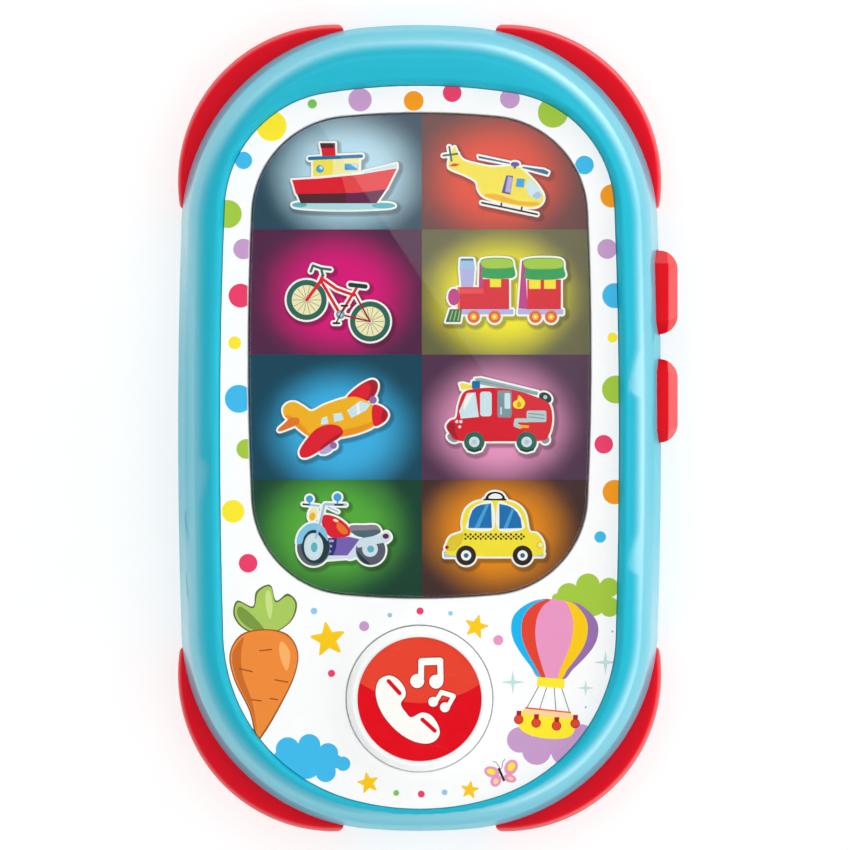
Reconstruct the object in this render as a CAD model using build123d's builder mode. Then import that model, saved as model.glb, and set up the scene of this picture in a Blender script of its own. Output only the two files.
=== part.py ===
"""Toy cell phone, lying on its back.

Millimetres. The origin is the centre of the flat back, +X points to the side buttons,
+Y to the top of the phone and +Z out of the screen.
"""

import os
from math import acos, atan2, cos, degrees, hypot, radians, sin, tan

from build123d import *

os.makedirs("parts", exist_ok=True)

# Each end of an outline: (height, side arc radius, end arc radius, corner radius)
body_half_width = 41.95
body_end = (70.0, 1066.0, 103.0, 35.3)
panel_half_width = 34.3
panel_top = (58.8, 909.0, 103.0, 20.6)
panel_bottom = (65.4, 1207.0, 43.75, 29.9)
screen_half_width = 29.54
screen_end = (41.8, 518.0, 138.0, 17.3)
screen_y = 12.44

# Casing heights and walls
body_thickness = 25.8
parting_z = 14.0
back_wall = 2.0
side_wall = 2.2
back_edge_radius = 5.0
floor_bevel = 1.5
side_draft = 12.0
frame_edge_radius = 7.0
frame_scoop_angle = 25.0
frame_ridge_radius = 0.7
frame_ridge_rise = 0.2
cut_margin = 0.5
deck_z = 20.5
deck_top = 22.0
panel_z = 24.0
core_top = 22.5
core_outer_inset = 3.4
core_panel_wall = 1.4

# Panel, label and screen layers, from the panel's face down
panel_gap = 0.1
label_thickness = 0.15
lens_z = 22.9
lens_thickness = 1.6
lens_edge_radius = 0.5
lens_ledge = 1.3
film_thickness = 0.3
ledge_z = lens_z - film_thickness
diffuser_z = 22.0
touch_film_z = 21.8
layer_gap = 0.1
touch_tail_half_width = 5.0
touch_tail_thickness = 0.2
touch_tail_gap = 0.6
touch_tail_overlap = 1.0
touch_tail_slot = (12.0, 3.0)

# Light box with two columns and four rows of cells
cell_column_x = 0.4
cell_row_ys = (34.1, 12.6, -8.9)
cell_centre_xs = (-13.9, 14.7)
cell_centre_ys = (43.6, 23.35, 1.85, -18.2)
grid_wall = 1.0

# Main board
board_z = 15.2
board_thickness = 1.6
board_top = board_z + board_thickness
board_margin = 2.0
tongue_half_width = 15.0
tongue_top_y = -20.0
tongue_end_y = -58.0
board_screws_xy = ((30.2, 28.0), (-30.2, 28.0), (30.2, -4.0), (-30.2, -4.0))
board_post_radius = 1.6
board_screw_radius = 0.9
screw_clearance = 0.1
board_cross_recess = (2.0, 0.5, 0.5)
board_screw_head_radius = 1.7
board_screw_head_height = 1.2
board_screw_tip_z = 19.8
led_size = 3.5
led_height = 1.4
led_bevel = 0.3
capacitor_xyz = (-20.0, 4.0, 9.0)
capacitor_radius = 2.5
capacitor_bevel = 0.4
chip_blob_xy = (14.0, 4.0)
chip_blob_radius = 6.0
chip_blob_height = 1.2
chip_blob_round = 1.1
resistor_size = (3.2, 1.6, 0.6)
resistors_xy = ((-6.0, 4.0), (0.0, 4.0), (0.0, 26.0))
connector_xy = (-8.0, 26.0)
connector_size = (9.0, 4.4, 2.4)

# Round call button
call_y = -46.4
call_radius = 12.5
call_hole_radius = 12.65
call_top = 26.2
call_edge_radius = 1.5
call_wall = 1.6
call_flange_radius = 13.9
call_flange_thickness = 1.2
call_label_radius = 10.65
call_label_thickness = 0.3
call_label_recess = 0.4
call_label_gap = 0.05
call_plunger_radius = 3.0
call_dome_height = 2.15
call_dome_skirt = ((6.5, 0.0), (6.5, 0.6), (4.9, 0.6))
call_dome_hollow = ((0.0, 1.2), (2.4, 1.2), (4.2, 0.0))
stop_gap = 0.05

# Side buttons: y of each
side_button_ys = {"upper": 23.5, "lower": 4.7}
side_button_length = 14.5
side_button_height = 8.4
side_button_tip_x = 44.7
side_button_corner = 2.3
side_button_bevel = 1.7
side_button_end_radius = 3.2
side_button_round = 0.35
side_slot_gap = 0.15
side_slot_x = 39.0
side_slot_reach = 10.0
side_flange_x = 38.0
side_flange_margin = 1.0
side_flange_thickness = 1.2
side_plunger_radius = 1.8
side_plunger_x = 36.65
side_board_x = 33.6
side_board_thickness = 1.2
side_board_low = (-7.0, 6.0)
side_board_high = (35.0, 19.0)
side_board_rib_ys = (-5.0, 33.0)
side_dome_height = 1.8
side_dome_skirt = ((1.9, -1.8), (3.2, -0.6), (4.2, -0.6), (4.2, 0.0))
side_dome_hollow = ((2.7, 0.0), (1.4, -1.0), (0.0, -1.0))
side_rib_xs = (31.9, 36.4)
side_rib_half_width = 1.5
side_rib_drop = 1.0

# Corner bumpers
bumper_radius = 27.3
bumper_centre = (14.76, 42.9)
bumper_ends = (13.2, 37.9)
bumper_tip_radius = 1.3
bumper_recess = 2.4
bumper_backing = 4.2
bumper_backing_margin = 4.0
bumper_back_radius = 4.5
bumper_front_radius = 1.5
bumper_peg_radius = 1.5
bumper_peg_z = 7.5
bumper_peg_angles = (22.0, 68.0)
bumper_peg_insets = (1.6, 5.2)
peg_gap = 0.1

# Housing screws, driven from the back: (x, y) of each
housing_screws_xy = ((25.0, 55.0), (-25.0, 55.0), (32.5, -38.0), (-32.5, -38.0), (0.0, -63.6))
screw_well_radius = 4.0
screw_access_radius = 2.9
screw_post_radius = 3.0
screw_hole_radius = 1.5
screw_head_radius = 2.6
screw_head_height = 1.8
screw_radius = 1.3
screw_seat_z = 11.0
screw_tip_z = 19.0
cross_recess = (2.8, 0.7, 0.9)

# Battery bay for two AAA cells, which lie along X
cell_radius = 5.25
cell_body_length = 43.5
cell_end_radius = 0.4
cell_nub_radius = 1.9
cell_nub_length = 1.0
cell_ys = {"upper": -28.65, "lower": -39.95}
cell_z = 7.5
bay_half_length = 25.2
bay_ys = (-46.0, -22.6)
bay_wall_x = 28.6
bay_wall = 1.5
bay_roof_z = 13.0
bay_roof_top = 14.2
contact_thickness = 0.3
contact_half_width = 4.5
contact_zs = (3.5, 11.5)
contact_tab_half_width = 1.5
spring_radius = 3.0
spring_wire_radius = 0.35
spring_turns = 4

# Battery door, hinged on two tongues at its lower edge
door_half_length = 27.0
door_ys = (-46.0, -21.0)
door_tab_half_width = 7.0
door_tab_y = -12.8
door_gap = 0.2
door_face_z = 0.2
door_inner_z = 1.95
door_corner_radius = 1.5
door_screw_y = -17.6
door_screw_radius = 1.25
door_screw_head_radius = 2.5
door_screw_head_height = 1.5
door_screw_room = 1.0
door_screw_tip_z = 6.0
door_boss_radius = 3.0
door_boss_top = 3.4
boss_radius = 3.2
boss_hole_radius = 1.75
boss_z = 3.7
tongue_xs = (-16.0, 16.0)
tongue_width = 5.0
tongue_reach = 2.0
tongue_z = 2.1
tongue_thickness = 1.2
tongue_root = 1.4
tongue_room = 6.0

# Speaker
speaker_y = 40.0
speaker_radius = 14.5
speaker_ring_wall = 1.4
speaker_ring_top = 7.5
gasket_inner_radius = 12.6
gasket_thickness = 0.8
basket_height = 4.6
basket_profile = (
    (12.6, 0.0), (speaker_radius, 0.0), (speaker_radius, 1.6), (9.0, basket_height),
    (5.0, basket_height), (5.0, 3.8), (8.6, 3.8), (12.6, 1.6),
)
cone_profile = (
    (12.5, 0.15), (12.5, 0.5), (4.4, 2.7), (0.0, 2.7), (0.0, 2.3), (4.2, 2.3), (11.5, 0.15),
)
magnet_radius = 6.5
magnet_top = 9.8
magnet_bevel = 0.4
grille_hole_radius = 1.0
grille_rings = ((3.4, 6), (6.8, 12), (10.2, 18))

# Power switch, which slides along X
switch_y = 14.0
switch_rest_x = -2.0
slider_travel = 4.0
knob_size = (5.0, 4.4)
knob_face_z = 0.3
knob_groove_xs = (-1.5, 0.0, 1.5)
knob_groove_width = 0.5
knob_groove_depth = 0.4
slider_flange_size = (12.0, 8.4)
slider_flange_z = 2.1
slider_flange_thickness = 0.95
fork_inner = 2.2
fork_wall = 0.6
fork_half_width = 1.5
fork_top = 4.4
lever_size = (2.0, 2.0)
lever_z = 3.1
lever_top = 5.8
lever_gap = 0.1
switch_body_size = (10.0, 5.6)
switch_body_z = 4.6
switch_board_z = 8.6
switch_board_size = (26.0, 8.0, 1.2)
switch_post_x = 10.5
switch_post_radius = 2.0
switch_screw_radius = 0.8
switch_screw_head_radius = 1.5
switch_screw_head_height = 1.0
switch_screw_tip_z = 4.6
switch_well_size = (17.0, 8.0)
switch_well_depth = 0.8

# Insulated leads
lead_radius = 0.6
fine_lead_radius = 0.4
arc_share = 0.45


def corner_of(half_width, height, side_radius, end_radius, corner_radius):
    """Centre of the corner arc, and the directions in which it meets the side and end arcs."""
    side_centre_x = half_width - side_radius
    end_centre_y = height - end_radius
    to_side = side_radius - corner_radius
    to_end = end_radius - corner_radius
    apart = hypot(side_centre_x, end_centre_y)
    slope = atan2(end_centre_y, -side_centre_x)
    opening = acos((to_side**2 + apart**2 - to_end**2) / (2 * to_side * apart))
    side_angle = slope + opening
    centre_x = side_centre_x + to_side * cos(side_angle)
    centre_y = to_side * sin(side_angle)
    end_angle = atan2(centre_y - end_centre_y, centre_x)
    return (centre_x, centre_y), degrees(side_angle), degrees(end_angle)


def outline(half_width, top, bottom, inset=0.0, centre_y=0.0):
    """Face bounded by shallow side and end arcs, joined at each corner by a tangent arc."""
    with BuildLine() as edge:
        for up, end in ((1, top), (-1, bottom)):
            height, side_radius, end_radius, corner_radius = (size - inset for size in end)
            width = half_width - inset
            (corner_x, corner_y), side_angle, end_angle = corner_of(
                width, height, side_radius, end_radius, corner_radius
            )
            side_x = width - side_radius
            turn = end_angle - side_angle
            CenterArc((side_x, 0), side_radius, 0, up * side_angle)
            CenterArc((corner_x, up * corner_y), corner_radius, up * side_angle, up * turn)
            end_turn = 180 - 2 * end_angle
            CenterArc((0, up * (height - end_radius)), end_radius, up * end_angle, up * end_turn)
            CenterArc((-corner_x, up * corner_y), corner_radius, up * (180 - end_angle), up * turn)
            CenterArc((-side_x, 0), side_radius, up * (180 - side_angle), up * side_angle)
    face = make_face(edge.edges(), mode=Mode.PRIVATE)
    add(face.moved(Location((0, centre_y))))


def body_outline(inset=0.0):
    outline(body_half_width, body_end, body_end, inset)


def panel_outline(inset=0.0):
    outline(panel_half_width, panel_top, panel_bottom, inset)


def screen_outline(inset=0.0):
    outline(screen_half_width, screen_end, screen_end, inset, screen_y)


def save(piece, name):
    piece.part.label = name
    export_step(piece.part, f"parts/{name}.step")


def round_rod(xy_list, radius, low_z, high_z, mode=Mode.ADD):
    """Upright round rods or holes at each (x, y)."""
    with BuildSketch(Plane.XY.offset(low_z)) as discs:
        with Locations(*xy_list):
            Circle(radius)
    extrude(discs.sketch, amount=high_z - low_z, mode=mode)


def block(low, high, mode=Mode.ADD):
    """A box between two corners."""
    middle = [(a + b) / 2 for a, b in zip(low, high)]
    with Locations(tuple(middle)):
        Box(*(b - a for a, b in zip(low, high)), mode=mode)


def side_slots():
    """Cuts the slots that the side buttons slide in through the side wall."""
    for y in side_button_ys.values():
        with BuildSketch(Plane.YZ.offset(side_slot_x)) as slot:
            with Locations((y, parting_z)):
                Rectangle(side_button_length + 2 * side_slot_gap, side_button_height + 2 * side_slot_gap)
            chamfer(slot.vertices(), side_button_corner)
        extrude(slot.sketch, amount=side_slot_reach, mode=Mode.SUBTRACT)


def cross_slot(x, y, low_z, size=cross_recess):
    """Cross recess for a screwdriver, in a screw head whose face looks down at low_z."""
    long, wide, deep = size
    with Locations((x, y, low_z + deep / 2)):
        Box(long, wide, deep, mode=Mode.SUBTRACT)
        Box(wide, long, deep, mode=Mode.SUBTRACT)


def revolved(points, x, y, z):
    """Ring or cup turned about an upright axis at (x, y, z), from (radius, height) points."""
    with BuildSketch(Plane((x, y, z), x_dir=(1, 0, 0), z_dir=(0, -1, 0))) as half:
        with BuildLine():
            Polyline(*points, close=True)
        make_face()
    revolve(half.sketch, axis=Axis((x, y, z), (0, 0, 1)))


def peg_planes():
    """Planes on the pegs of the upper right bumper, facing into the casing."""
    corner, *_ = corner_of(body_half_width, *body_end)
    start = body_end[3] - bumper_peg_insets[0]
    planes = []
    for angle in bumper_peg_angles:
        across, up = cos(radians(angle)), sin(radians(angle))
        origin = (corner[0] + start * across, corner[1] + start * up, bumper_peg_z)
        planes.append(Plane(origin, z_dir=(-across, -up, 0)))
    return planes


def lead(points, radius):
    """Round lead on straight runs joined by arcs as large as the runs allow."""
    stops = [Vector(*point) for point in points]
    runs = [b - a for a, b in zip(stops, stops[1:])]
    radii = []
    for before, after in zip(runs, runs[1:]):
        turn = radians(before.get_angle(after))
        radii.append(arc_share * min(before.length, after.length) / tan(turn / 2))
    with BuildLine() as route:
        FilletPolyline(*points, radius=radii)
    with BuildSketch(Plane(stops[0], z_dir=runs[0])) as section:
        Circle(radius)
    sweep(section.sketch, path=route.wires()[0])
    print("lead radii", [round(value, 1) for value in radii])


# Front half of the casing: the rounded frame, and a deck that carries the panel and the boards
with BuildPart() as front_housing:
    with BuildSketch(Plane.XY.offset(parting_z)):
        body_outline()
    extrude(amount=body_thickness - parting_z, taper=side_draft)
    fillet(front_housing.faces().sort_by(Axis.Z)[-1].outer_wire().edges(), frame_edge_radius)
    with BuildSketch(Plane.XY.offset(panel_z)):
        panel_outline()
    extrude(amount=body_thickness - panel_z + cut_margin, taper=-frame_scoop_angle, mode=Mode.SUBTRACT)
    ridge = [
        edge
        for edge in front_housing.edges(Select.LAST)
        if min(corner.Z for corner in edge.vertices()) > panel_z + frame_ridge_rise
    ]
    fillet(ridge, frame_ridge_radius)
    with BuildSketch(Plane.XY.offset(deck_top)):
        panel_outline()
    extrude(amount=panel_z - deck_top, mode=Mode.SUBTRACT)
    with BuildSketch(Plane.XY.offset(parting_z)):
        body_outline(side_wall)
    extrude(amount=deck_z - parting_z, mode=Mode.SUBTRACT)
    with BuildSketch(Plane.XY.offset(deck_z)):
        body_outline(core_outer_inset)
        with BuildSketch(mode=Mode.SUBTRACT):
            panel_outline(-core_panel_wall)
    extrude(amount=core_top - deck_z, mode=Mode.SUBTRACT)
    with BuildSketch(Plane.XY.offset(deck_z)):
        screen_outline(lens_ledge)
        with Locations((0, screen_y - screen_end[0] + lens_ledge)):
            Rectangle(*touch_tail_slot)
        with Locations((0, call_y)):
            Circle(call_hole_radius)
    extrude(amount=deck_top - deck_z, mode=Mode.SUBTRACT)
    round_rod(housing_screws_xy, screw_post_radius, parting_z, deck_z)
    round_rod(housing_screws_xy, screw_radius, parting_z, screw_tip_z, Mode.SUBTRACT)
    round_rod(board_screws_xy, board_post_radius, board_top, deck_z)
    round_rod(board_screws_xy, board_screw_radius, board_top, board_screw_tip_z, Mode.SUBTRACT)
    side_slots()
save(front_housing, "front_housing")


# White panel that drops into the frame, with a stepped window for the lens
with BuildPart() as face_plate:
    with BuildSketch(Plane.XY.offset(deck_top)):
        panel_outline(panel_gap)
    extrude(amount=panel_z - deck_top)
    with BuildSketch(Plane.XY.offset(deck_top)):
        screen_outline(lens_ledge)
        with Locations((0, call_y)):
            Circle(call_hole_radius)
    extrude(amount=panel_z - deck_top, mode=Mode.SUBTRACT)
    with BuildSketch(Plane.XY.offset(ledge_z)):
        screen_outline()
    extrude(amount=panel_z - ledge_z, mode=Mode.SUBTRACT)
save(face_plate, "face_plate")

with BuildPart() as face_label:
    with BuildSketch(Plane.XY.offset(panel_z)):
        panel_outline(panel_gap)
        with BuildSketch(mode=Mode.SUBTRACT):
            screen_outline(-panel_gap)
            with Locations((0, call_y)):
                Circle(call_hole_radius + panel_gap)
    extrude(amount=label_thickness)
save(face_label, "face_label")


# Screen: clear lens, printed film, diffuser and touch film, one under the other
with BuildPart() as screen_lens:
    with BuildSketch(Plane.XY.offset(lens_z)):
        screen_outline(layer_gap)
    extrude(amount=lens_thickness)
    fillet(screen_lens.faces().sort_by(Axis.Z)[-1].edges(), lens_edge_radius)
save(screen_lens, "screen_lens")

with BuildPart() as screen_film:
    with BuildSketch(Plane.XY.offset(ledge_z)):
        screen_outline(layer_gap)
    extrude(amount=film_thickness)
save(screen_film, "screen_film")

with BuildPart() as diffuser_sheet:
    with BuildSketch(Plane.XY.offset(diffuser_z)):
        screen_outline(lens_ledge + layer_gap)
    extrude(amount=ledge_z - diffuser_z)
save(diffuser_sheet, "diffuser_sheet")

with BuildPart() as touch_film:
    with BuildSketch(Plane.XY.offset(touch_film_z)):
        screen_outline(lens_ledge + layer_gap)
    extrude(amount=diffuser_z - touch_film_z)
    tail_y = screen_y - screen_end[0] + lens_ledge
    tail_front_y = tail_y - touch_tail_gap
    tail_back_y = tail_front_y - touch_tail_thickness
    block(
        (-touch_tail_half_width, tail_back_y, board_top),
        (touch_tail_half_width, tail_front_y, diffuser_z),
    )
    block(
        (-touch_tail_half_width, tail_back_y, touch_film_z),
        (touch_tail_half_width, tail_y + touch_tail_overlap, diffuser_z),
    )
save(touch_film, "touch_film")


# Light box that keeps each picture's light in its own cell
with BuildPart() as light_grid:
    with BuildSketch(Plane.XY.offset(board_top)):
        screen_outline(lens_ledge + 2 * layer_gap)
        with BuildSketch(mode=Mode.SUBTRACT):
            screen_outline(lens_ledge + grid_wall)
        with BuildSketch():
            screen_outline(lens_ledge + grid_wall / 2)
            with BuildSketch(mode=Mode.INTERSECT):
                with Locations((cell_column_x, screen_y)):
                    Rectangle(grid_wall, 2 * screen_end[0])
                with Locations(*((0, y) for y in cell_row_ys)):
                    Rectangle(2 * screen_half_width, grid_wall)
    extrude(amount=touch_film_z - board_top)
save(light_grid, "light_grid")


# Main board under the light box, with a tongue under the call button
with BuildPart() as main_board:
    with BuildSketch(Plane.XY.offset(board_z)):
        screen_outline(-board_margin)
        with Locations((0, (tongue_top_y + tongue_end_y) / 2)):
            Rectangle(2 * tongue_half_width, tongue_top_y - tongue_end_y)
    extrude(amount=board_thickness)
    round_rod(board_screws_xy, board_screw_radius + screw_clearance, board_z, board_top, Mode.SUBTRACT)
save(main_board, "main_board")

with BuildPart() as screen_leds:
    with Locations(*((x, y, board_top + led_height / 2) for x in cell_centre_xs for y in cell_centre_ys)):
        Box(led_size, led_size, led_height)
    chamfer(screen_leds.faces().group_by(Axis.Z)[-1].edges(), led_bevel)
save(screen_leds, "screen_leds")

with BuildPart() as chip_blob:
    round_rod([chip_blob_xy], chip_blob_radius, board_z - chip_blob_height, board_z)
    fillet(chip_blob.faces().sort_by(Axis.Z)[0].edges(), chip_blob_round)
save(chip_blob, "chip_blob")

with BuildPart() as board_components:
    x, y, low_z = capacitor_xyz
    round_rod([(x, y)], capacitor_radius, low_z, board_z)
    chamfer(board_components.faces().sort_by(Axis.Z)[0].edges(), capacitor_bevel)
    with Locations(*((x, y, board_z - resistor_size[2] / 2) for x, y in resistors_xy)):
        Box(*resistor_size)
    with Locations((*connector_xy, board_z - connector_size[2] / 2)):
        Box(*connector_size)
save(board_components, "board_components")

with BuildPart() as board_screws:
    round_rod(board_screws_xy, board_screw_head_radius, board_z - board_screw_head_height, board_z)
    round_rod(board_screws_xy, board_screw_radius, board_z, board_screw_tip_z)
    for x, y in board_screws_xy:
        cross_slot(x, y, board_z - board_screw_head_height, board_cross_recess)
save(board_screws, "board_screws")


# Round call button: a hollow cap held in by its flange, a printed disc, and a rubber dome
cap_z = deck_z - stop_gap - call_flange_thickness
with BuildPart() as call_button_cap:
    round_rod([(0, call_y)], call_radius, cap_z, call_top)
    fillet(call_button_cap.faces().sort_by(Axis.Z)[-1].edges(), call_edge_radius)
    round_rod([(0, call_y)], call_flange_radius, cap_z, cap_z + call_flange_thickness)
    hollow_top = call_top - call_wall - call_label_recess
    round_rod([(0, call_y)], call_radius - call_wall, cap_z, hollow_top, Mode.SUBTRACT)
    plunger_z = board_top + call_dome_height + stop_gap
    round_rod([(0, call_y)], call_plunger_radius, plunger_z, call_top - call_wall)
    round_rod([(0, call_y)], call_label_radius, call_top - call_label_recess, call_top, Mode.SUBTRACT)
save(call_button_cap, "call_button_cap")

with BuildPart() as call_button_label:
    label_z = call_top - call_label_recess
    round_rod([(0, call_y)], call_label_radius - call_label_gap, label_z, label_z + call_label_thickness)
save(call_button_label, "call_button_label")

with BuildPart() as call_button_dome:
    dome_top = ((call_plunger_radius, call_dome_height), (0, call_dome_height))
    revolved(call_dome_skirt + dome_top + call_dome_hollow, 0, call_y, board_top)
save(call_button_dome, "call_button_dome")


# Side buttons: bevelled bars with a flange behind the wall and a plunger on a rubber dome
for place, y in side_button_ys.items():
    with BuildPart() as side_button:
        with BuildSketch(Plane.YZ.offset(side_flange_x + side_flange_thickness)) as bar:
            with Locations((y, parting_z)):
                Rectangle(side_button_length, side_button_height)
            chamfer(bar.vertices(), side_button_corner)
        extrude(amount=side_button_tip_x - side_flange_x - side_flange_thickness)
        chamfer(side_button.faces().sort_by(Axis.X)[-1].edges(), side_button_bevel)
        bevel_x = side_button_tip_x - side_button_bevel - cut_margin
        fillet([edge for edge in side_button.edges() if edge.center().X > bevel_x], side_button_round)
        with BuildSketch(Plane.XY.offset(parting_z - side_button_height / 2)):
            with Locations((side_flange_x, y)):
                RectangleRounded(
                    2 * (side_button_tip_x - side_flange_x),
                    side_button_length,
                    side_button_end_radius,
                )
        extrude(amount=side_button_height, mode=Mode.INTERSECT)
        with BuildSketch(Plane.YZ.offset(side_flange_x)):
            with Locations((y, parting_z)):
                Rectangle(
                    side_button_length + 2 * side_flange_margin,
                    side_button_height + 2 * side_flange_margin,
                )
        extrude(amount=side_flange_thickness)
        with BuildSketch(Plane.YZ.offset(side_plunger_x)):
            with Locations((y, parting_z)):
                Circle(side_plunger_radius)
        extrude(amount=side_flange_x - side_plunger_x)
    save(side_button, f"side_button_{place}")

    dome_x = side_board_x + side_board_thickness
    with BuildPart() as side_key_dome:
        with BuildSketch(Plane((dome_x, y, parting_z), x_dir=(0, 1, 0), z_dir=(0, 0, 1))):
            with BuildLine():
                Polyline((0, -side_dome_height), *side_dome_skirt, *side_dome_hollow, close=True)
            make_face()
        revolve(axis=Axis((dome_x, y, parting_z), (1, 0, 0)))
    save(side_key_dome, f"side_key_dome_{place}")

with BuildPart() as side_key_board:
    block(
        (side_board_x, *side_board_low),
        (side_board_x + side_board_thickness, *side_board_high),
    )
save(side_key_board, "side_key_board")


# Red bumper of one corner, as a crescent that stands proud of the casing
with BuildSketch() as crescent:
    with Locations(bumper_centre):
        Circle(bumper_radius)
    with Locations((bumper_ends[0] + body_end[0] / 2, bumper_ends[1] + body_end[0] / 2)):
        Rectangle(body_end[0], body_end[0], mode=Mode.INTERSECT)
    with BuildSketch(mode=Mode.SUBTRACT):
        body_outline(bumper_recess)
    tips = [crescent.vertices().sort_by(axis)[-1] for axis in (Axis.X, Axis.Y)]
    fillet(tips, bumper_tip_radius)

with BuildPart() as corner_bumper:
    round_rod([bumper_centre], bumper_radius, 0, parting_z)
    fillet(corner_bumper.faces().sort_by(Axis.Z)[0].edges(), bumper_back_radius)
    fillet(corner_bumper.faces().sort_by(Axis.Z)[-1].edges(), bumper_front_radius)
    with BuildSketch():
        add(crescent.sketch)
    extrude(amount=parting_z, mode=Mode.INTERSECT)
    for plane in peg_planes():
        with BuildSketch(plane):
            Circle(bumper_peg_radius)
        extrude(amount=bumper_peg_insets[1] - bumper_peg_insets[0])

with BuildPart() as bumper_top_right:
    add(corner_bumper.part)
save(bumper_top_right, "bumper_top_right")
with BuildPart() as bumper_top_left:
    mirror(corner_bumper.part, about=Plane.YZ)
save(bumper_top_left, "bumper_top_left")
with BuildPart() as bumper_bottom_right:
    mirror(corner_bumper.part, about=Plane.XZ)
save(bumper_bottom_right, "bumper_bottom_right")
with BuildPart() as bumper_bottom_left:
    add(corner_bumper.part, rotation=(0, 0, 180))
save(bumper_bottom_left, "bumper_bottom_left")


# Back half of the casing
with BuildPart() as peg_holes:
    for plane in peg_planes():
        with BuildSketch(plane):
            Circle(bumper_peg_radius + peg_gap)
        extrude(amount=bumper_peg_insets[1] - bumper_peg_insets[0] + peg_gap)
    mirror(about=Plane.YZ)
    mirror(about=Plane.XZ)

with BuildPart() as rear_shell:
    with BuildSketch():
        body_outline()
    extrude(amount=parting_z)
    fillet(rear_shell.faces().sort_by(Axis.Z)[0].edges(), back_edge_radius)
    with BuildSketch(Plane.XY.offset(back_wall)):
        body_outline(side_wall + floor_bevel)
    extrude(amount=floor_bevel, taper=-45, mode=Mode.SUBTRACT)
    with BuildSketch(Plane.XY.offset(back_wall + floor_bevel)):
        body_outline(side_wall)
    extrude(amount=parting_z, mode=Mode.SUBTRACT)

    # Thicker wall behind each bumper, then the bumper's seat
    with BuildSketch(Plane.XY.offset(back_wall)):
        body_outline(bumper_recess / 2)
        with BuildSketch(mode=Mode.SUBTRACT):
            body_outline(bumper_backing)
        with BuildSketch(mode=Mode.INTERSECT):
            with GridLocations(body_half_width + bumper_ends[0], body_end[0] + bumper_ends[1], 2, 2):
                Rectangle(
                    body_half_width - bumper_ends[0] + bumper_backing_margin,
                    body_end[0] - bumper_ends[1] + bumper_backing_margin,
                )
    extrude(amount=parting_z - back_wall)
    with BuildSketch():
        add(crescent.sketch)
        mirror(about=Plane.YZ)
        mirror(about=Plane.XZ)
    extrude(amount=parting_z, mode=Mode.SUBTRACT)
    add(peg_holes.part, mode=Mode.SUBTRACT)

    # Battery bay with its roof, and the boss for the door's screw
    block((-bay_wall_x, bay_ys[0] - bay_wall, back_wall), (bay_wall_x, bay_ys[1] + bay_wall, bay_roof_top))
    block(
        (-door_tab_half_width - bay_wall, bay_ys[1], back_wall),
        (door_tab_half_width + bay_wall, door_tab_y + bay_wall, bay_roof_top),
    )
    block((-bay_half_length, bay_ys[0], 0), (bay_half_length, bay_ys[1], bay_roof_z), Mode.SUBTRACT)
    block(
        (-door_tab_half_width + bay_wall, bay_ys[1] + bay_wall, 0),
        (door_tab_half_width - bay_wall, door_tab_y - bay_wall, bay_roof_z),
        Mode.SUBTRACT,
    )
    block((-door_half_length, door_ys[0], 0), (door_half_length, door_ys[1], back_wall), Mode.SUBTRACT)
    block(
        (-door_tab_half_width, door_ys[1], 0),
        (door_tab_half_width, door_tab_y, back_wall),
        Mode.SUBTRACT,
    )
    round_rod([(0, door_screw_y)], boss_radius, boss_z, bay_roof_z)
    boss_hole_top = door_screw_tip_z + door_screw_room
    round_rod([(0, door_screw_y)], boss_hole_radius, boss_z, boss_hole_top, Mode.SUBTRACT)
    for x in tongue_xs:
        block(
            (x - tongue_width / 2 - door_gap, bay_ys[0] - bay_wall, back_wall),
            (x + tongue_width / 2 + door_gap, bay_ys[0], tongue_room),
            Mode.SUBTRACT,
        )
    slit_half_width = contact_tab_half_width + layer_gap
    for y in cell_ys.values():
        block(
            (bay_half_length - 2 * contact_thickness, y - slit_half_width, bay_roof_z),
            (bay_half_length, y + slit_half_width, bay_roof_top),
            Mode.SUBTRACT,
        )

    # Speaker ring and grille
    round_rod([(0, speaker_y)], speaker_radius + speaker_ring_wall, back_wall, speaker_ring_top)
    round_rod([(0, speaker_y)], speaker_radius + layer_gap, back_wall, speaker_ring_top, Mode.SUBTRACT)
    with BuildSketch():
        with Locations((0, speaker_y)):
            Circle(grille_hole_radius)
            for ring_radius, count in grille_rings:
                with PolarLocations(ring_radius, count):
                    Circle(grille_hole_radius)
    extrude(amount=back_wall, mode=Mode.SUBTRACT)

    # Power switch: a finger well with a slot, and two posts for its board
    with BuildSketch():
        with Locations((0, switch_y)):
            SlotOverall(*switch_well_size)
    extrude(amount=switch_well_depth, mode=Mode.SUBTRACT)
    with Locations((0, switch_y, back_wall / 2)):
        Box(
            knob_size[0] + slider_travel + 2 * door_gap,
            knob_size[1] + 2 * door_gap,
            back_wall,
            mode=Mode.SUBTRACT,
        )
    switch_posts_xy = [(-switch_post_x, switch_y), (switch_post_x, switch_y)]
    round_rod(switch_posts_xy, switch_post_radius, back_wall, switch_board_z)
    round_rod(switch_posts_xy, switch_screw_radius, switch_screw_tip_z, switch_board_z, Mode.SUBTRACT)

    # Slotted ribs that hold the side key board
    for y in side_board_rib_ys:
        low_y, high_y = y - side_rib_half_width, y + side_rib_half_width
        block((side_rib_xs[0], low_y, back_wall), (side_rib_xs[1], high_y, parting_z - side_rib_drop))
        block(
            (side_board_x - stop_gap, low_y, side_board_low[1]),
            (side_board_x + side_board_thickness + stop_gap, high_y, parting_z),
            Mode.SUBTRACT,
        )
    side_slots()

    # Screw wells
    round_rod(housing_screws_xy, screw_well_radius, back_wall, parting_z)
    round_rod(housing_screws_xy, screw_access_radius, 0, screw_seat_z, Mode.SUBTRACT)
    round_rod(housing_screws_xy, screw_hole_radius, screw_seat_z, parting_z, Mode.SUBTRACT)
save(rear_shell, "rear_shell")

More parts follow.
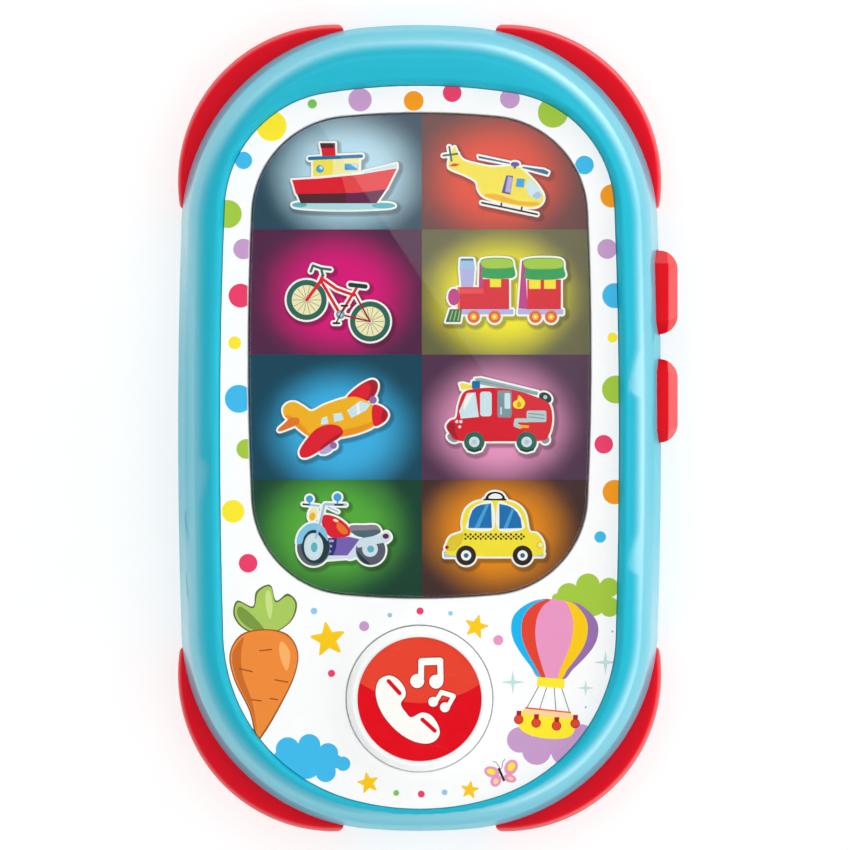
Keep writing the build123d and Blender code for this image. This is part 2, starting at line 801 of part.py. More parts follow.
with BuildPart() as housing_screws:
    round_rod(housing_screws_xy, screw_head_radius, screw_seat_z - screw_head_height, screw_seat_z)
    round_rod(housing_screws_xy, screw_radius, screw_seat_z, screw_tip_z)
    for x, y in housing_screws_xy:
        cross_slot(x, y, screw_seat_z - screw_head_height)
save(housing_screws, "housing_screws")


# Battery door with tongues at its lower edge, and the screw that stays in it
with BuildPart() as battery_door:
    with BuildSketch(Plane.XY.offset(door_face_z)) as door_face:
        with Locations((0, (door_ys[0] + door_ys[1]) / 2)):
            Rectangle(2 * (door_half_length - door_gap), door_ys[1] - door_ys[0] - 2 * door_gap)
        with Locations((0, (door_ys[0] + door_tab_y) / 2)):
            Rectangle(2 * (door_tab_half_width - door_gap), door_tab_y - door_ys[0] - 2 * door_gap)
        fillet(door_face.vertices().group_by(Axis.Y)[-1], door_corner_radius)
    extrude(amount=door_inner_z - door_face_z)
    round_rod([(0, door_screw_y)], door_boss_radius, door_inner_z, door_boss_top)
    round_rod([(0, door_screw_y)], door_screw_head_radius + door_gap, door_face_z, back_wall, Mode.SUBTRACT)
    round_rod([(0, door_screw_y)], door_screw_radius + door_gap, back_wall, door_boss_top, Mode.SUBTRACT)
    for x in tongue_xs:
        block(
            (x - tongue_width / 2, door_ys[0] - tongue_reach, tongue_z),
            (x + tongue_width / 2, door_ys[0] + tongue_root, tongue_z + tongue_thickness),
        )
        block(
            (x - tongue_width / 2, door_ys[0] + door_gap, door_face_z),
            (x + tongue_width / 2, door_ys[0] + tongue_root, tongue_z + tongue_thickness),
        )
save(battery_door, "battery_door")

with BuildPart() as battery_door_screw:
    head_z = back_wall - door_screw_head_height
    round_rod([(0, door_screw_y)], door_screw_head_radius, head_z, back_wall)
    round_rod([(0, door_screw_y)], door_screw_radius, back_wall, door_screw_tip_z)
    cross_slot(0, door_screw_y, head_z)
save(battery_door_screw, "battery_door_screw")


# Cells, with the positive nub to +X in the upper one and to -X in the lower one
contact_x = bay_half_length - contact_thickness
for place, y in cell_ys.items():
    way = 1 if place == "upper" else -1
    nub_x = contact_x - cell_nub_length
    with BuildPart() as battery:
        with BuildSketch(Plane((way * nub_x, y, cell_z), z_dir=(-way, 0, 0))):
            Circle(cell_radius)
        extrude(amount=cell_body_length)
        fillet(battery.edges(), cell_end_radius)
        with BuildSketch(Plane((way * nub_x, y, cell_z), z_dir=(way, 0, 0))):
            Circle(cell_nub_radius)
        extrude(amount=cell_nub_length)
    save(battery, f"battery_{place}")

with BuildPart() as battery_springs:
    spring_room = 2 * contact_x - cell_nub_length - cell_body_length
    spring_length = spring_room - 2 * (spring_wire_radius + stop_gap)
    for place, y in cell_ys.items():
        way = -1 if place == "upper" else 1
        start = Plane((way * (contact_x - spring_wire_radius - stop_gap), y, cell_z), z_dir=(-way, 0, 0))
        coil = Helix(spring_length / spring_turns, spring_length, spring_radius, mode=Mode.PRIVATE)
        coil = start * coil
        with BuildSketch(Plane(coil @ 0, z_dir=coil % 0)):
            Circle(spring_wire_radius)
        sweep(path=coil)
save(battery_springs, "battery_springs")

with BuildPart() as battery_contacts:
    low_z, high_z = contact_zs
    low_y, high_y = cell_ys["lower"] - contact_half_width, cell_ys["upper"] + contact_half_width
    block((-bay_half_length, low_y, low_z), (-contact_x, high_y, high_z))
    for y in cell_ys.values():
        block(
            (contact_x, y - contact_half_width, low_z),
            (bay_half_length, y + contact_half_width, high_z),
        )
        block(
            (contact_x, y - contact_tab_half_width, high_z),
            (bay_half_length, y + contact_tab_half_width, board_top),
        )
save(battery_contacts, "battery_contacts")


# Speaker facing the grille: foam gasket, basket, paper cone and magnet
with BuildPart() as speaker_gasket:
    with BuildSketch(Plane.XY.offset(back_wall)):
        with Locations((0, speaker_y)):
            Circle(speaker_radius - layer_gap)
            Circle(gasket_inner_radius, mode=Mode.SUBTRACT)
    extrude(amount=gasket_thickness)
save(speaker_gasket, "speaker_gasket")

basket_z = back_wall + gasket_thickness
with BuildPart() as speaker_frame:
    revolved(basket_profile, 0, speaker_y, basket_z)
save(speaker_frame, "speaker_frame")

with BuildPart() as speaker_cone:
    revolved(cone_profile, 0, speaker_y, basket_z)
save(speaker_cone, "speaker_cone")

with BuildPart() as speaker_magnet:
    round_rod([(0, speaker_y)], magnet_radius, basket_z + basket_height, magnet_top)
    chamfer(speaker_magnet.faces().sort_by(Axis.Z)[-1].edges(), magnet_bevel)
save(speaker_magnet, "speaker_magnet")


# Power switch: the knob and its fork, the lever it carries, and the switch on its own board
with BuildPart() as power_slider:
    knob_x = switch_rest_x
    block(
        (knob_x - knob_size[0] / 2, switch_y - knob_size[1] / 2, knob_face_z),
        (knob_x + knob_size[0] / 2, switch_y + knob_size[1] / 2, slider_flange_z),
    )
    for groove_x in knob_groove_xs:
        with Locations((knob_x + groove_x, switch_y, knob_face_z + knob_groove_depth / 2)):
            Box(knob_groove_width, knob_size[1], knob_groove_depth, mode=Mode.SUBTRACT)
    block(
        (knob_x - slider_flange_size[0] / 2, switch_y - slider_flange_size[1] / 2, slider_flange_z),
        (
            knob_x + slider_flange_size[0] / 2,
            switch_y + slider_flange_size[1] / 2,
            slider_flange_z + slider_flange_thickness,
        ),
    )
    for side in (-1, 1):
        wall_x = knob_x + side * (fork_inner + fork_wall) / 2
        block(
            (wall_x - fork_wall / 2, switch_y - fork_half_width, slider_flange_z),
            (wall_x + fork_wall / 2, switch_y + fork_half_width, fork_top),
        )
save(power_slider, "power_slider")

with BuildPart() as switch_lever:
    block(
        (knob_x - lever_size[0] / 2, switch_y - lever_size[1] / 2, lever_z),
        (knob_x + lever_size[0] / 2, switch_y + lever_size[1] / 2, lever_top),
    )
save(switch_lever, "switch_lever")

with BuildPart() as switch_body:
    half_long, half_wide = switch_body_size[0] / 2, switch_body_size[1] / 2
    block(
        (-half_long, switch_y - half_wide, switch_body_z),
        (half_long, switch_y + half_wide, switch_board_z),
    )
    slot_half = (lever_size[0] + slider_travel) / 2 + 2 * lever_gap
    block(
        (-slot_half, switch_y - lever_size[1] / 2 - lever_gap, switch_body_z),
        (slot_half, switch_y + lever_size[1] / 2 + lever_gap, lever_top + 2 * lever_gap),
        Mode.SUBTRACT,
    )
save(switch_body, "switch_body")

with BuildPart() as switch_board:
    long, wide, thick = switch_board_size
    with Locations((0, switch_y, switch_board_z + thick / 2)):
        Box(long, wide, thick)
    hole_radius = switch_screw_radius + screw_clearance
    round_rod(switch_posts_xy, hole_radius, switch_board_z, switch_board_z + thick, Mode.SUBTRACT)
save(switch_board, "switch_board")

with BuildPart() as switch_board_screws:
    head_z = switch_board_z + switch_board_size[2]
    round_rod(switch_posts_xy, switch_screw_head_radius, head_z, head_z + switch_screw_head_height)
    round_rod(switch_posts_xy, switch_screw_radius, switch_screw_tip_z, head_z)
save(switch_board_screws, "switch_board_screws")


# Leads between the boards, the cells and the speaker
tab_x = contact_x - lead_radius - stop_gap
upper_y, lower_y = cell_ys["upper"], cell_ys["lower"]
pad_z = board_top + lead_radius + stop_gap
under_z = board_z - lead_radius - stop_gap
fine_pad_z = board_top + fine_lead_radius + stop_gap
with BuildPart() as battery_lead_red:
    lead(
        ((tab_x, upper_y, 16.0), (tab_x - 3.5, upper_y - 0.8, 17.0), (tab_x - 7.5, upper_y - 3.8, 17.9),
         (tab_x - 11.5, upper_y - 5.5, pad_z)),
        lead_radius,
    )
save(battery_lead_red, "battery_lead_red")

with BuildPart() as battery_lead_black:
    lead(
        ((tab_x, lower_y, 16.0), (tab_x - 4, lower_y + 0.5, 16.6), (tab_x - 7.5, lower_y + 2.5, 17.3),
         (tab_x - 11.5, lower_y + 2.5, pad_z)),
        lead_radius,
    )
save(battery_lead_black, "battery_lead_black")

speaker_leads = {
    "red": (
        (-6.5, 34.0, 8.1), (-11.0, 29.0, 9.0), (-14.0, 23.5, 10.6), (-14.5, 18.0, 13.2),
        (-12.5, 13.0, under_z),
    ),
    "black": (
        (-8.2, 37.0, 8.1), (-13.5, 32.0, 9.0), (-17.0, 26.0, 10.6), (-18.0, 19.5, 13.2),
        (-16.0, 14.0, under_z),
    ),
}
for colour, route in speaker_leads.items():
    with BuildPart() as speaker_lead:
        lead(route, lead_radius)
    save(speaker_lead, f"speaker_lead_{colour}")

with BuildPart() as switch_leads:
    for x in (-3.0, 3.0):
        lead(((x, 16.5, 10.5), (x, 19.5, 10.8), (x, 22.0, 12.6), (x, 22.5, under_z)), lead_radius)
save(switch_leads, "switch_leads")

with BuildPart() as side_key_leads:
    for y in (10.0, 13.0, 16.0):
        lead(
            ((side_board_x, y, 18.0), (side_board_x - 1.6, y, 18.1), (side_board_x - 2.9, y - 0.9, 17.4),
             (side_board_x - 3.9, y - 2.1, fine_pad_z)),
            fine_lead_radius,
        )
save(side_key_leads, "side_key_leads")
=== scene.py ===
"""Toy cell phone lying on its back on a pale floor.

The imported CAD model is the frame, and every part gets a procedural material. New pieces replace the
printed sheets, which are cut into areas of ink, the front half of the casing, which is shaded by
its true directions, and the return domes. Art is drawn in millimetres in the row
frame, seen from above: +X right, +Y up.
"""

from math import atan2, copysign, cos, pi, radians, sin, sqrt, tan

import bpy
import numpy as np
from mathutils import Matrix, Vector
from mathutils.geometry import delaunay_2d_cdt, intersect_sphere_sphere_2d

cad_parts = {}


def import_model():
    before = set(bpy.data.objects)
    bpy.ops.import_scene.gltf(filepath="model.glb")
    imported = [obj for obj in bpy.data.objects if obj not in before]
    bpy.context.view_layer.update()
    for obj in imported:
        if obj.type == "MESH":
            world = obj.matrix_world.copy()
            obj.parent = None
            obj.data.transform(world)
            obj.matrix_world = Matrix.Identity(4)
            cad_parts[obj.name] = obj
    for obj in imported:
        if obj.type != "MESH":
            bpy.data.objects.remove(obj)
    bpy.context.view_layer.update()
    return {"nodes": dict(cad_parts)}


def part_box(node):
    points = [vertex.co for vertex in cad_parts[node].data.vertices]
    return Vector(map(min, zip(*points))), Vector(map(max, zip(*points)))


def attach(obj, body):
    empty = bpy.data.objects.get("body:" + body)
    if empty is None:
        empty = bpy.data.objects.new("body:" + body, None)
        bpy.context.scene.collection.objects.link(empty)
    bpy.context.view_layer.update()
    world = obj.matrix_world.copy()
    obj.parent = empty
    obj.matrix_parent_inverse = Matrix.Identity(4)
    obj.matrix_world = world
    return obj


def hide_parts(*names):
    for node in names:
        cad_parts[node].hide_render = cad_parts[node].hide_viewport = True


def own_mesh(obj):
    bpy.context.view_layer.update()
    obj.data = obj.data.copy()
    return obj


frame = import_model()
nodes = frame["nodes"]
scene = bpy.context.scene
scene.view_settings.view_transform = "Standard"
MM = 0.001


def linked(name, data):
    """New object in the scene."""
    thing = bpy.data.objects.new(name, data)
    scene.collection.objects.link(thing)
    return thing


# ---------------------------------------------------------------- colours and shader helpers

# Scale of a wave texture whose bands are one unit apart
WAVE_SCALE = 0.314


def rgb(code):
    """Linear colour of a hex code such as "#22b6cf"."""
    values = [int(code[i : i + 2], 16) / 255 for i in (1, 3, 5)]
    return [v / 12.92 if v <= 0.04045 else ((v + 0.055) / 1.055) ** 2.4 for v in values]


def scaled(colour, factor):
    return [min(1.0, value * factor) for value in colour]


class Nodes:
    """A shader tree, with helpers that add nodes to it."""

    def __init__(self, tree, coordinates):
        self.tree = tree
        self.place = self.add("TexCoord").outputs[coordinates]

    def add(self, kind, **settings):
        node = self.tree.nodes.new("ShaderNode" + kind)
        for key, value in settings.items():
            setattr(node, key, value)
        return node

    def join(self, source, target):
        self.tree.links.new(source, target)

    def axes(self):
        """The place's X, Y and Z."""
        split = self.add("SeparateXYZ")
        self.join(self.place, split.inputs[0])
        return split.outputs

    def ranged(self, value, low, high, start=0.0, end=1.0, smooth=False):
        """value from start..end mapped to low..high."""
        mapped = self.add("MapRange", interpolation_type="SMOOTHSTEP" if smooth else "LINEAR")
        self.join(value, mapped.inputs["Value"])
        mapped.inputs["From Min"].default_value = start
        mapped.inputs["From Max"].default_value = end
        mapped.inputs["To Min"].default_value = low
        mapped.inputs["To Max"].default_value = high
        return mapped.outputs[0]

    def fed(self, node, values):
        """Inputs of a node joined to outputs, or set to constants."""
        for socket, value in zip(node.inputs, values):
            if isinstance(value, bpy.types.NodeSocket):
                self.join(value, socket)
            else:
                socket.default_value = value
        return node.outputs

    def maths(self, operation, *values):
        return self.fed(self.add("Math", operation=operation), values)[0]

    def vector_maths(self, operation, *values):
        return self.fed(self.add("VectorMath", operation=operation), values)


class Look(Nodes):
    """A procedural material with one Principled shader."""

    def __init__(self, name, **sockets):
        self.material = bpy.data.materials.new(name)
        self.material.use_nodes = True
        super().__init__(self.material.node_tree, "Object")
        self.shader = self.tree.nodes["Principled BSDF"]
        self.output = self.tree.nodes["Material Output"]
        for socket, value in sockets.items():
            self.shader.inputs[socket.replace("_", " ")].default_value = value

    def noise(self, size_mm, detail=3.0, stretch=(1, 1, 1), distortion=0.0):
        """Noise from 0 to 1 whose patches are about size_mm across."""
        moved = self.add("Mapping")
        moved.inputs["Scale"].default_value = stretch
        self.join(self.place, moved.inputs["Vector"])
        texture = self.add("TexNoise")
        texture.inputs["Scale"].default_value = 1 / (size_mm * MM)
        texture.inputs["Detail"].default_value = detail
        texture.inputs["Distortion"].default_value = distortion
        self.join(moved.outputs[0], texture.inputs["Vector"])
        return texture.outputs[0]

    def cells(self, size_mm, feature="F1"):
        """Distances in a pattern of cells about size_mm across."""
        texture = self.add("TexVoronoi", feature=feature)
        texture.inputs["Scale"].default_value = 1 / (size_mm * MM)
        self.join(self.place, texture.inputs["Vector"])
        return texture.outputs["Distance"]

    def waves(self, size_mm, direction="X", profile="SIN", distortion=0.0):
        """Bands size_mm apart along a direction."""
        texture = self.add("TexWave", bands_direction=direction, wave_profile=profile)
        texture.inputs["Scale"].default_value = WAVE_SCALE / (size_mm * MM)
        texture.inputs["Distortion"].default_value = distortion
        self.join(self.place, texture.inputs["Vector"])
        return texture.outputs["Fac"]

    def mixed(self, factor, first, second):
        """Colour between two colours, or between outputs that give colours."""
        mixer = self.add("Mix", data_type="RGBA")
        self.join(factor, mixer.inputs[0])
        for socket, colour in ((mixer.inputs[6], first), (mixer.inputs[7], second)):
            if isinstance(colour, list):
                socket.default_value = (*colour, 1)
            else:
                self.join(colour, socket)
        return mixer.outputs[2]

    def colour(self, output):
        self.join(output, self.shader.inputs["Base Color"])

    def rough(self, output, low, high):
        self.join(self.ranged(output, low, high, 0.3, 0.7), self.shader.inputs["Roughness"])

    def bump(self, output, depth_mm, strength=1.0):
        """Bumps of a depth, on top of any that are there already."""
        node = self.add("Bump")
        node.inputs["Strength"].default_value = strength
        node.inputs["Distance"].default_value = depth_mm * MM
        self.join(output, node.inputs["Height"])
        normal = self.shader.inputs["Normal"]
        if normal.is_linked:
            self.join(normal.links[0].from_socket, node.inputs["Normal"])
        self.join(node.outputs[0], normal)


def plastic(name, code, grain_mm=0.35, grain_depth=0.004, rough=(0.2, 0.3), mottle=0.06, **sockets):
    """Moulded plastic: faint flow mottling, fine grain, and uneven gloss from handling."""
    look = Look(name, **sockets)
    base = rgb(code)
    look.colour(look.mixed(look.noise(9, 4), scaled(base, 1 - mottle), scaled(base, 1 + mottle)))
    look.rough(look.noise(5, 5, distortion=0.4), *rough)
    look.bump(look.noise(grain_mm, 2), grain_depth)
    look.bump(look.noise(14, 1), 0.02, 0.5)
    return look


def metal(name, code, rough=(0.2, 0.4), grain_mm=0.25, stretch=(1, 1, 1)):
    """Plated or brushed metal."""
    look = Look(name, Metallic=1.0)
    base = rgb(code)
    grain = look.noise(grain_mm, 3, stretch)
    look.colour(look.mixed(grain, scaled(base, 0.88), scaled(base, 1.08)))
    look.rough(look.noise(1.5, 4), *rough)
    look.bump(grain, 0.003)
    return look


# ---------------------------------------------------------------- materials of the parts


# Share of the coat on upright walls, and the leans between which it drops to that
UPRIGHT_COAT = 0.35
UPRIGHT_LEAN = (0.72, 0.97)


def outward_polish(look, start, end):
    """Coat that grows as a surface leans out from the phone's middle but drops on upright walls."""
    level_place = look.vector_maths("MULTIPLY", look.place, (1, 1, 0))[0]
    outward = look.vector_maths("NORMALIZE", level_place)[0]
    facing = look.add("NewGeometry").outputs["Normal"]
    lean = look.vector_maths("DOT_PRODUCT", outward, facing)["Value"]
    polish = look.ranged(lean, 0, 1, start, end, smooth=True)
    upright = look.ranged(lean, 1, UPRIGHT_COAT, *UPRIGHT_LEAN, smooth=True)
    look.join(look.maths("MULTIPLY", polish, upright), look.shader.inputs["Coat Weight"])


def teal_shell():
    """Front half: polished on the outer shoulder, matt on the wall that drops to the panel."""
    gloss = {"Specular_IOR_Level": 0.2, "Coat_Roughness": 0.17, "Coat_IOR": 2.5}
    look = plastic("teal_plastic", "#10b4cc", rough=(0.4, 0.5), mottle=0.02, **gloss)
    outward_polish(look, 0.2, 0.68)
    return look


def teal_back():
    """The back half has a spark-eroded texture."""
    look = plastic("teal_plastic_textured", "#18b0cb", 0.22, 0.03, (0.38, 0.5), 0.05)
    look.bump(look.cells(0.45), 0.012, 0.6)
    return look


def red_bumper():
    gloss = {"Specular_IOR_Level": 0.08, "Coat_Roughness": 0.35, "Coat_IOR": 2.1}
    gloss["Coat_Tint"] = (1, 0.93, 0.85, 1)
    look = plastic("red_rubber", "#e0061f", 0.3, 0.01, (0.42, 0.52), 0.04, **gloss)
    outward_polish(look, 0.25, 0.8)
    return look


def red_button():
    gloss = {"Specular_IOR_Level": 0.08, "Coat_Roughness": 0.2, "Coat_IOR": 1.8}
    look = plastic("red_button_plastic", "#e60a1c", 0.3, 0.003, (0.3, 0.4), 0.05, **gloss)
    outward_polish(look, 0.2, 0.7)
    return look


def clear_lens():
    """Clear window: gloss over what lies behind it, with faint smudges."""
    look = Look("clear_window")
    gloss = look.add("BsdfGlossy")
    gloss.inputs["Color"].default_value = (1, 1, 1, 1)
    look.join(look.ranged(look.noise(6, 5), 0.004, 0.02, 0.4, 0.7), gloss.inputs["Roughness"])
    clear = look.add("BsdfTransparent")
    clear.inputs["Color"].default_value = (0.985, 0.992, 0.99, 1)
    fresnel = look.add("Fresnel")
    fresnel.inputs["IOR"].default_value = 1.5
    outside = look.ranged(look.add("NewGeometry").outputs["Backfacing"], 1, 0)
    both = look.add("MixShader")
    shine = look.maths("MULTIPLY", fresnel.outputs[0], outside)
    shaded = look.fed(both, (shine, clear.outputs[0], gloss.outputs[0]))[0]
    look.join(shaded, look.output.inputs["Surface"])
    look.tree.nodes.remove(look.shader)
    return look


def button_clear():
    # The faint white emission is painted light that brightens the cap all over; the cap is no lamp
    look = Look(
        "milky_clear_plastic", Roughness=0.16, IOR=1.49, Coat_Weight=0.4, Coat_Roughness=0.06,
        Transmission_Weight=0.08, Subsurface_Weight=0.25, Subsurface_Scale=0.001,
        Emission_Color=(1, 1, 1, 1), Emission_Strength=0.04,
    )
    look.colour(look.mixed(look.noise(4, 3), rgb("#f8fbfa"), rgb("#ffffff")))
    look.rough(look.noise(3, 4), 0.12, 0.2)
    look.bump(look.noise(0.4, 2), 0.002)
    return look


def circuit_board():
    """Green solder mask over copper tracks."""
    look = Look("solder_mask", Coat_Weight=0.5, Coat_Roughness=0.15)
    tracks = look.ranged(look.waves(2.4, "DIAGONAL", "SAW", 2.2), 0, 1, 0.42, 0.5)
    look.colour(look.mixed(tracks, rgb("#0c5a2c"), rgb("#1c7c3e")))
    look.rough(look.noise(2, 3), 0.3, 0.42)
    look.bump(tracks, 0.035)
    return look


def paper_cone():
    look = Look("pressed_paper", Roughness=0.9)
    fibres = look.noise(0.5, 6, (1, 1, 0.3), 0.8)
    look.colour(look.mixed(fibres, rgb("#1d1b19"), rgb("#3a3632")))
    look.rough(fibres, 0.82, 0.95)
    look.bump(fibres, 0.05)
    return look


def foam():
    look = Look("foam_rubber", Roughness=0.95)
    pores = look.cells(0.4)
    look.colour(look.mixed(pores, rgb("#17181a"), rgb("#3c3e42")))
    look.rough(pores, 0.85, 0.98)
    look.bump(pores, 0.08)
    return look


# Where the copper end band starts and is full, along X in metres
COPPER_START = (0.0115, 0.0118)


def cell_jacket():
    """Plain shrink sleeve of a battery cell, dark with a copper end band along X."""
    look = Look("cell_sleeve", Coat_Weight=0.5, Coat_Roughness=0.1)
    band = look.ranged(look.axes()["X"], 0, 1, *COPPER_START)
    sleeve = look.mixed(look.noise(3, 3), rgb("#1b1d21"), rgb("#2a2d33"))
    look.colour(look.mixed(band, sleeve, rgb("#b06a33")))
    look.rough(look.noise(2, 4), 0.22, 0.34)
    look.bump(look.noise(1.2, 2), 0.01)
    return look


def touch_film():
    look = Look("clear_film_with_traces", Roughness=0.3)
    traces = look.ranged(look.waves(1.6, "Y", "SIN", 0.6), 0, 1, 0.86, 0.93)
    look.colour(look.mixed(traces, rgb("#c9d6d2"), rgb("#5b6460")))
    look.rough(look.noise(3, 3), 0.25, 0.4)
    return look


def diffuser():
    look = Look("opal_sheet", Roughness=0.6, Transmission_Weight=0.25)
    look.colour(look.mixed(look.noise(2, 4), rgb("#eef0ee"), rgb("#ffffff")))
    look.rough(look.noise(1, 4), 0.5, 0.7)
    look.bump(look.noise(0.3, 2), 0.01)
    return look


def led():
    look = Look("led_package", Roughness=0.25, Coat_Weight=0.6)
    phosphor = look.cells(1.1)
    look.colour(look.mixed(look.ranged(phosphor, 0, 1, 0.3, 0.5), rgb("#f6d94a"), rgb("#f5f3ea")))
    look.rough(look.noise(0.6, 3), 0.2, 0.35)
    return look


def magnet():
    look = metal("zinc_plate", "#b9bcc0", (0.24, 0.4), 0.6)
    look.bump(look.noise(2.5, 3), 0.01)
    return look


MATERIALS = {
    "front_housing": teal_shell(),
    "rear_shell": teal_back(),
    "bumper": red_bumper(),
    "side_button": red_button(),
    "face_plate": plastic("white_plastic", "#f7f8f8", rough=(0.25, 0.35), mottle=0.02),
    "screen_lens": clear_lens(),
    "diffuser_sheet": diffuser(),
    "touch_film": touch_film(),
    "light_grid": plastic("white_grid_plastic", "#eceeed", 0.5, 0.01, (0.4, 0.55), 0.03),
    "board": circuit_board(),
    "screen_leds": led(),
    "chip_blob": plastic("black_resin_blob", "#131416", 1.2, 0.02, (0.15, 0.3), 0.3),
    "board_components": plastic("ceramic_parts", "#8f7a5c", 0.4, 0.01, (0.3, 0.5), 0.25),
    "screws": metal("zinc_screw", "#c4c6c8", (0.22, 0.38)),
    "call_button_cap": button_clear(),
    "dome": plastic("grey_silicone", "#b9bdc0", 0.3, 0.006, (0.5, 0.65), 0.04),
    "battery_door": teal_back(),
    "cells": cell_jacket(),
    "battery_springs": metal("nickel_spring", "#cfcfcb", (0.15, 0.28)),
    "battery_contacts": metal("nickel_strip", "#d2d0c8", (0.18, 0.3), 0.3, (1, 8, 8)),
    "speaker_gasket": foam(),
    "speaker_frame": plastic("black_basket_plastic", "#1c1d1f", 0.3, 0.01, (0.4, 0.55), 0.2),
    "speaker_cone": paper_cone(),
    "speaker_magnet": magnet(),
    "power_slider": plastic("black_knob_plastic", "#202124", 0.25, 0.012, (0.38, 0.5), 0.15),
    "switch_body": metal("switch_case", "#b4b6b8", (0.2, 0.35)),
    "switch_lever": plastic("black_lever_plastic", "#202124", 0.25, 0.012, (0.38, 0.5), 0.15),
    "red_lead": plastic("red_insulation", "#c21a1c", 0.3, 0.004, (0.35, 0.45), 0.06),
    "black_lead": plastic("black_insulation", "#1a1a1c", 0.3, 0.004, (0.35, 0.45), 0.15),
    "grey_lead": plastic("grey_insulation", "#8b8d90", 0.3, 0.004, (0.35, 0.45), 0.06),
}
NODES_OF_LOOK = {
    "bumper": "bumper_top_left bumper_top_right bumper_bottom_left bumper_bottom_right",
    "side_button": "side_button_upper side_button_lower",
    "board": "main_board side_key_board switch_board",
    "screws": "board_screws housing_screws battery_door_screw switch_board_screws",
    "dome": "call_button_dome side_key_dome_upper side_key_dome_lower",
    "cells": "battery_upper battery_lower",
    "red_lead": "battery_lead_red speaker_lead_red",
    "black_lead": "battery_lead_black speaker_lead_black",
    "grey_lead": "switch_leads side_key_leads",
}
LOOK_OF_NODE = {node: look for look, names in NODES_OF_LOOK.items() for node in names.split()}


# ---------------------------------------------------------------- drawing: closed loops in mm

ARC_STEP = radians(12)
CURVE_STEPS = 6
SMALL_OVAL = 1.5
# Share of the radius and turn in radians of the three points of a blunt tip
STAR_TIP = ((0.94, -0.07), (1.0, 0.0), (0.94, 0.07))
STAR_NOTCH = 0.47
SPARKLE_WAIST = 0.2
NO_LENGTH = 1e-6


def turned(loop, degrees, about):
    """A loop turned about a point."""
    c, s = cos(radians(degrees)), sin(radians(degrees))
    away = loop - np.array(about)
    return away @ np.array([[c, s], [-s, c]]) + np.array(about)


def oval(x, y, rx, ry, tilt=0.0):
    count = 36 if max(rx, ry) > SMALL_OVAL else 24
    t = np.arange(count) * 2 * pi / count
    loop = np.stack([x + rx * np.cos(t), y + ry * np.sin(t)], axis=1)
    return [turned(loop, tilt, (x, y))]


def disc(x, y, r):
    return oval(x, y, r, r)


def discs(items):
    return [loop for item in items for loop in disc(*item)]


def counterclockwise(loop):
    x, y = loop[:, 0], loop[:, 1]
    area = np.sum(x * np.roll(y, -1) - np.roll(x, -1) * y)
    return loop if area > 0 else loop[::-1]


def shape(*points):
    """Straight-sided shape."""
    return [counterclockwise(np.array(points, float))]


def soft(*points):
    """Smooth closed shape through the points."""
    p = counterclockwise(np.array(points, float))
    before, after, beyond = np.roll(p, 1, 0), np.roll(p, -1, 0), np.roll(p, -2, 0)
    spans = []
    for t in np.arange(CURVE_STEPS) / CURVE_STEPS:
        spans.append(
            0.5
            * (
                2 * p
                + (after - before) * t
                + (2 * before - 5 * p + 4 * after - beyond) * t**2
                + (3 * p - before - 3 * after + beyond) * t**3
            )
        )
    return [np.stack(spans, axis=1).reshape(-1, 2)]


def bar(width, *points):
    """Round-ended stroke along the points."""
    loops = []
    r = width / 2
    for (ax, ay), (bx, by) in zip(points, points[1:]):
        way = atan2(by - ay, bx - ax)
        t = np.arange(9) * pi / 8
        ends = [
            np.stack([x + r * np.cos(way + side + t), y + r * np.sin(way + side + t)], axis=1)
            for x, y, side in ((bx, by, -pi / 2), (ax, ay, pi / 2))
        ]
        loops.append(np.concatenate(ends))
    return loops


def bars(width, *strokes):
    return [loop for stroke in strokes for loop in bar(width, *stroke)]


def box(x0, y0, x1, y1, r=0.15):
    """Upright rectangle with rounded corners."""
    t = np.arange(5) * pi / 8
    corners = ((x1 - r, y1 - r, 0), (x0 + r, y1 - r, 1), (x0 + r, y0 + r, 2), (x1 - r, y0 + r, 3))
    runs = [
        np.stack([x + r * np.cos(t + q * pi / 2), y + r * np.sin(t + q * pi / 2)], axis=1)
        for x, y, q in corners
    ]
    return [np.concatenate(runs)]


def star(x, y, r, tilt=0.0):
    """Five-pointed star with blunt tips."""
    corners = []
    for i in range(5):
        tip = radians(90 + tilt + 72 * i)
        for reach, offset in STAR_TIP:
            corners.append((x + r * reach * cos(tip + offset), y + r * reach * sin(tip + offset)))
        notch = tip + radians(36)
        corners.append((x + STAR_NOTCH * r * cos(notch), y + STAR_NOTCH * r * sin(notch)))
    return shape(*corners)


def sparkle(x, y, r):
    """Four-pointed glint."""
    corners = []
    for i in range(8):
        reach = r if i % 2 == 0 else SPARKLE_WAIST * r
        corners.append((x + reach * cos(i * pi / 4), y + reach * sin(i * pi / 4)))
    return shape(*corners)


def moved(loops, dx, dy):
    return [loop + np.array((dx, dy)) for loop in loops]


def grown(loop, by):
    """Raw offset of a counterclockwise loop: its positive winding is the grown shape."""
    ahead = np.roll(loop, -1, 0) - loop
    lengths = np.hypot(ahead[:, 0], ahead[:, 1])
    loop, ahead = loop[lengths > NO_LENGTH], ahead[lengths > NO_LENGTH]
    ways = np.arctan2(ahead[:, 1], ahead[:, 0]) - pi / 2
    corners = []
    for point, way_in, way_out in zip(loop, np.roll(ways, 1), ways):
        turn = (way_out - way_in + pi) % (2 * pi) - pi
        if turn > ARC_STEP:
            steps = int(turn / ARC_STEP) + 1
            sweep = [way_in + turn * i / steps for i in range(steps + 1)]
            corners += [point + by * np.array((cos(w), sin(w))) for w in sweep]
        elif turn < -ARC_STEP:
            corners.append(point + by * np.array((cos(way_in), sin(way_in))))
            corners.append(point)
            corners.append(point + by * np.array((cos(way_out), sin(way_out))))
        else:
            middle = way_in + turn / 2
            corners.append(point + by / cos(turn / 2) * np.array((cos(middle), sin(middle))))
    return np.array(corners)


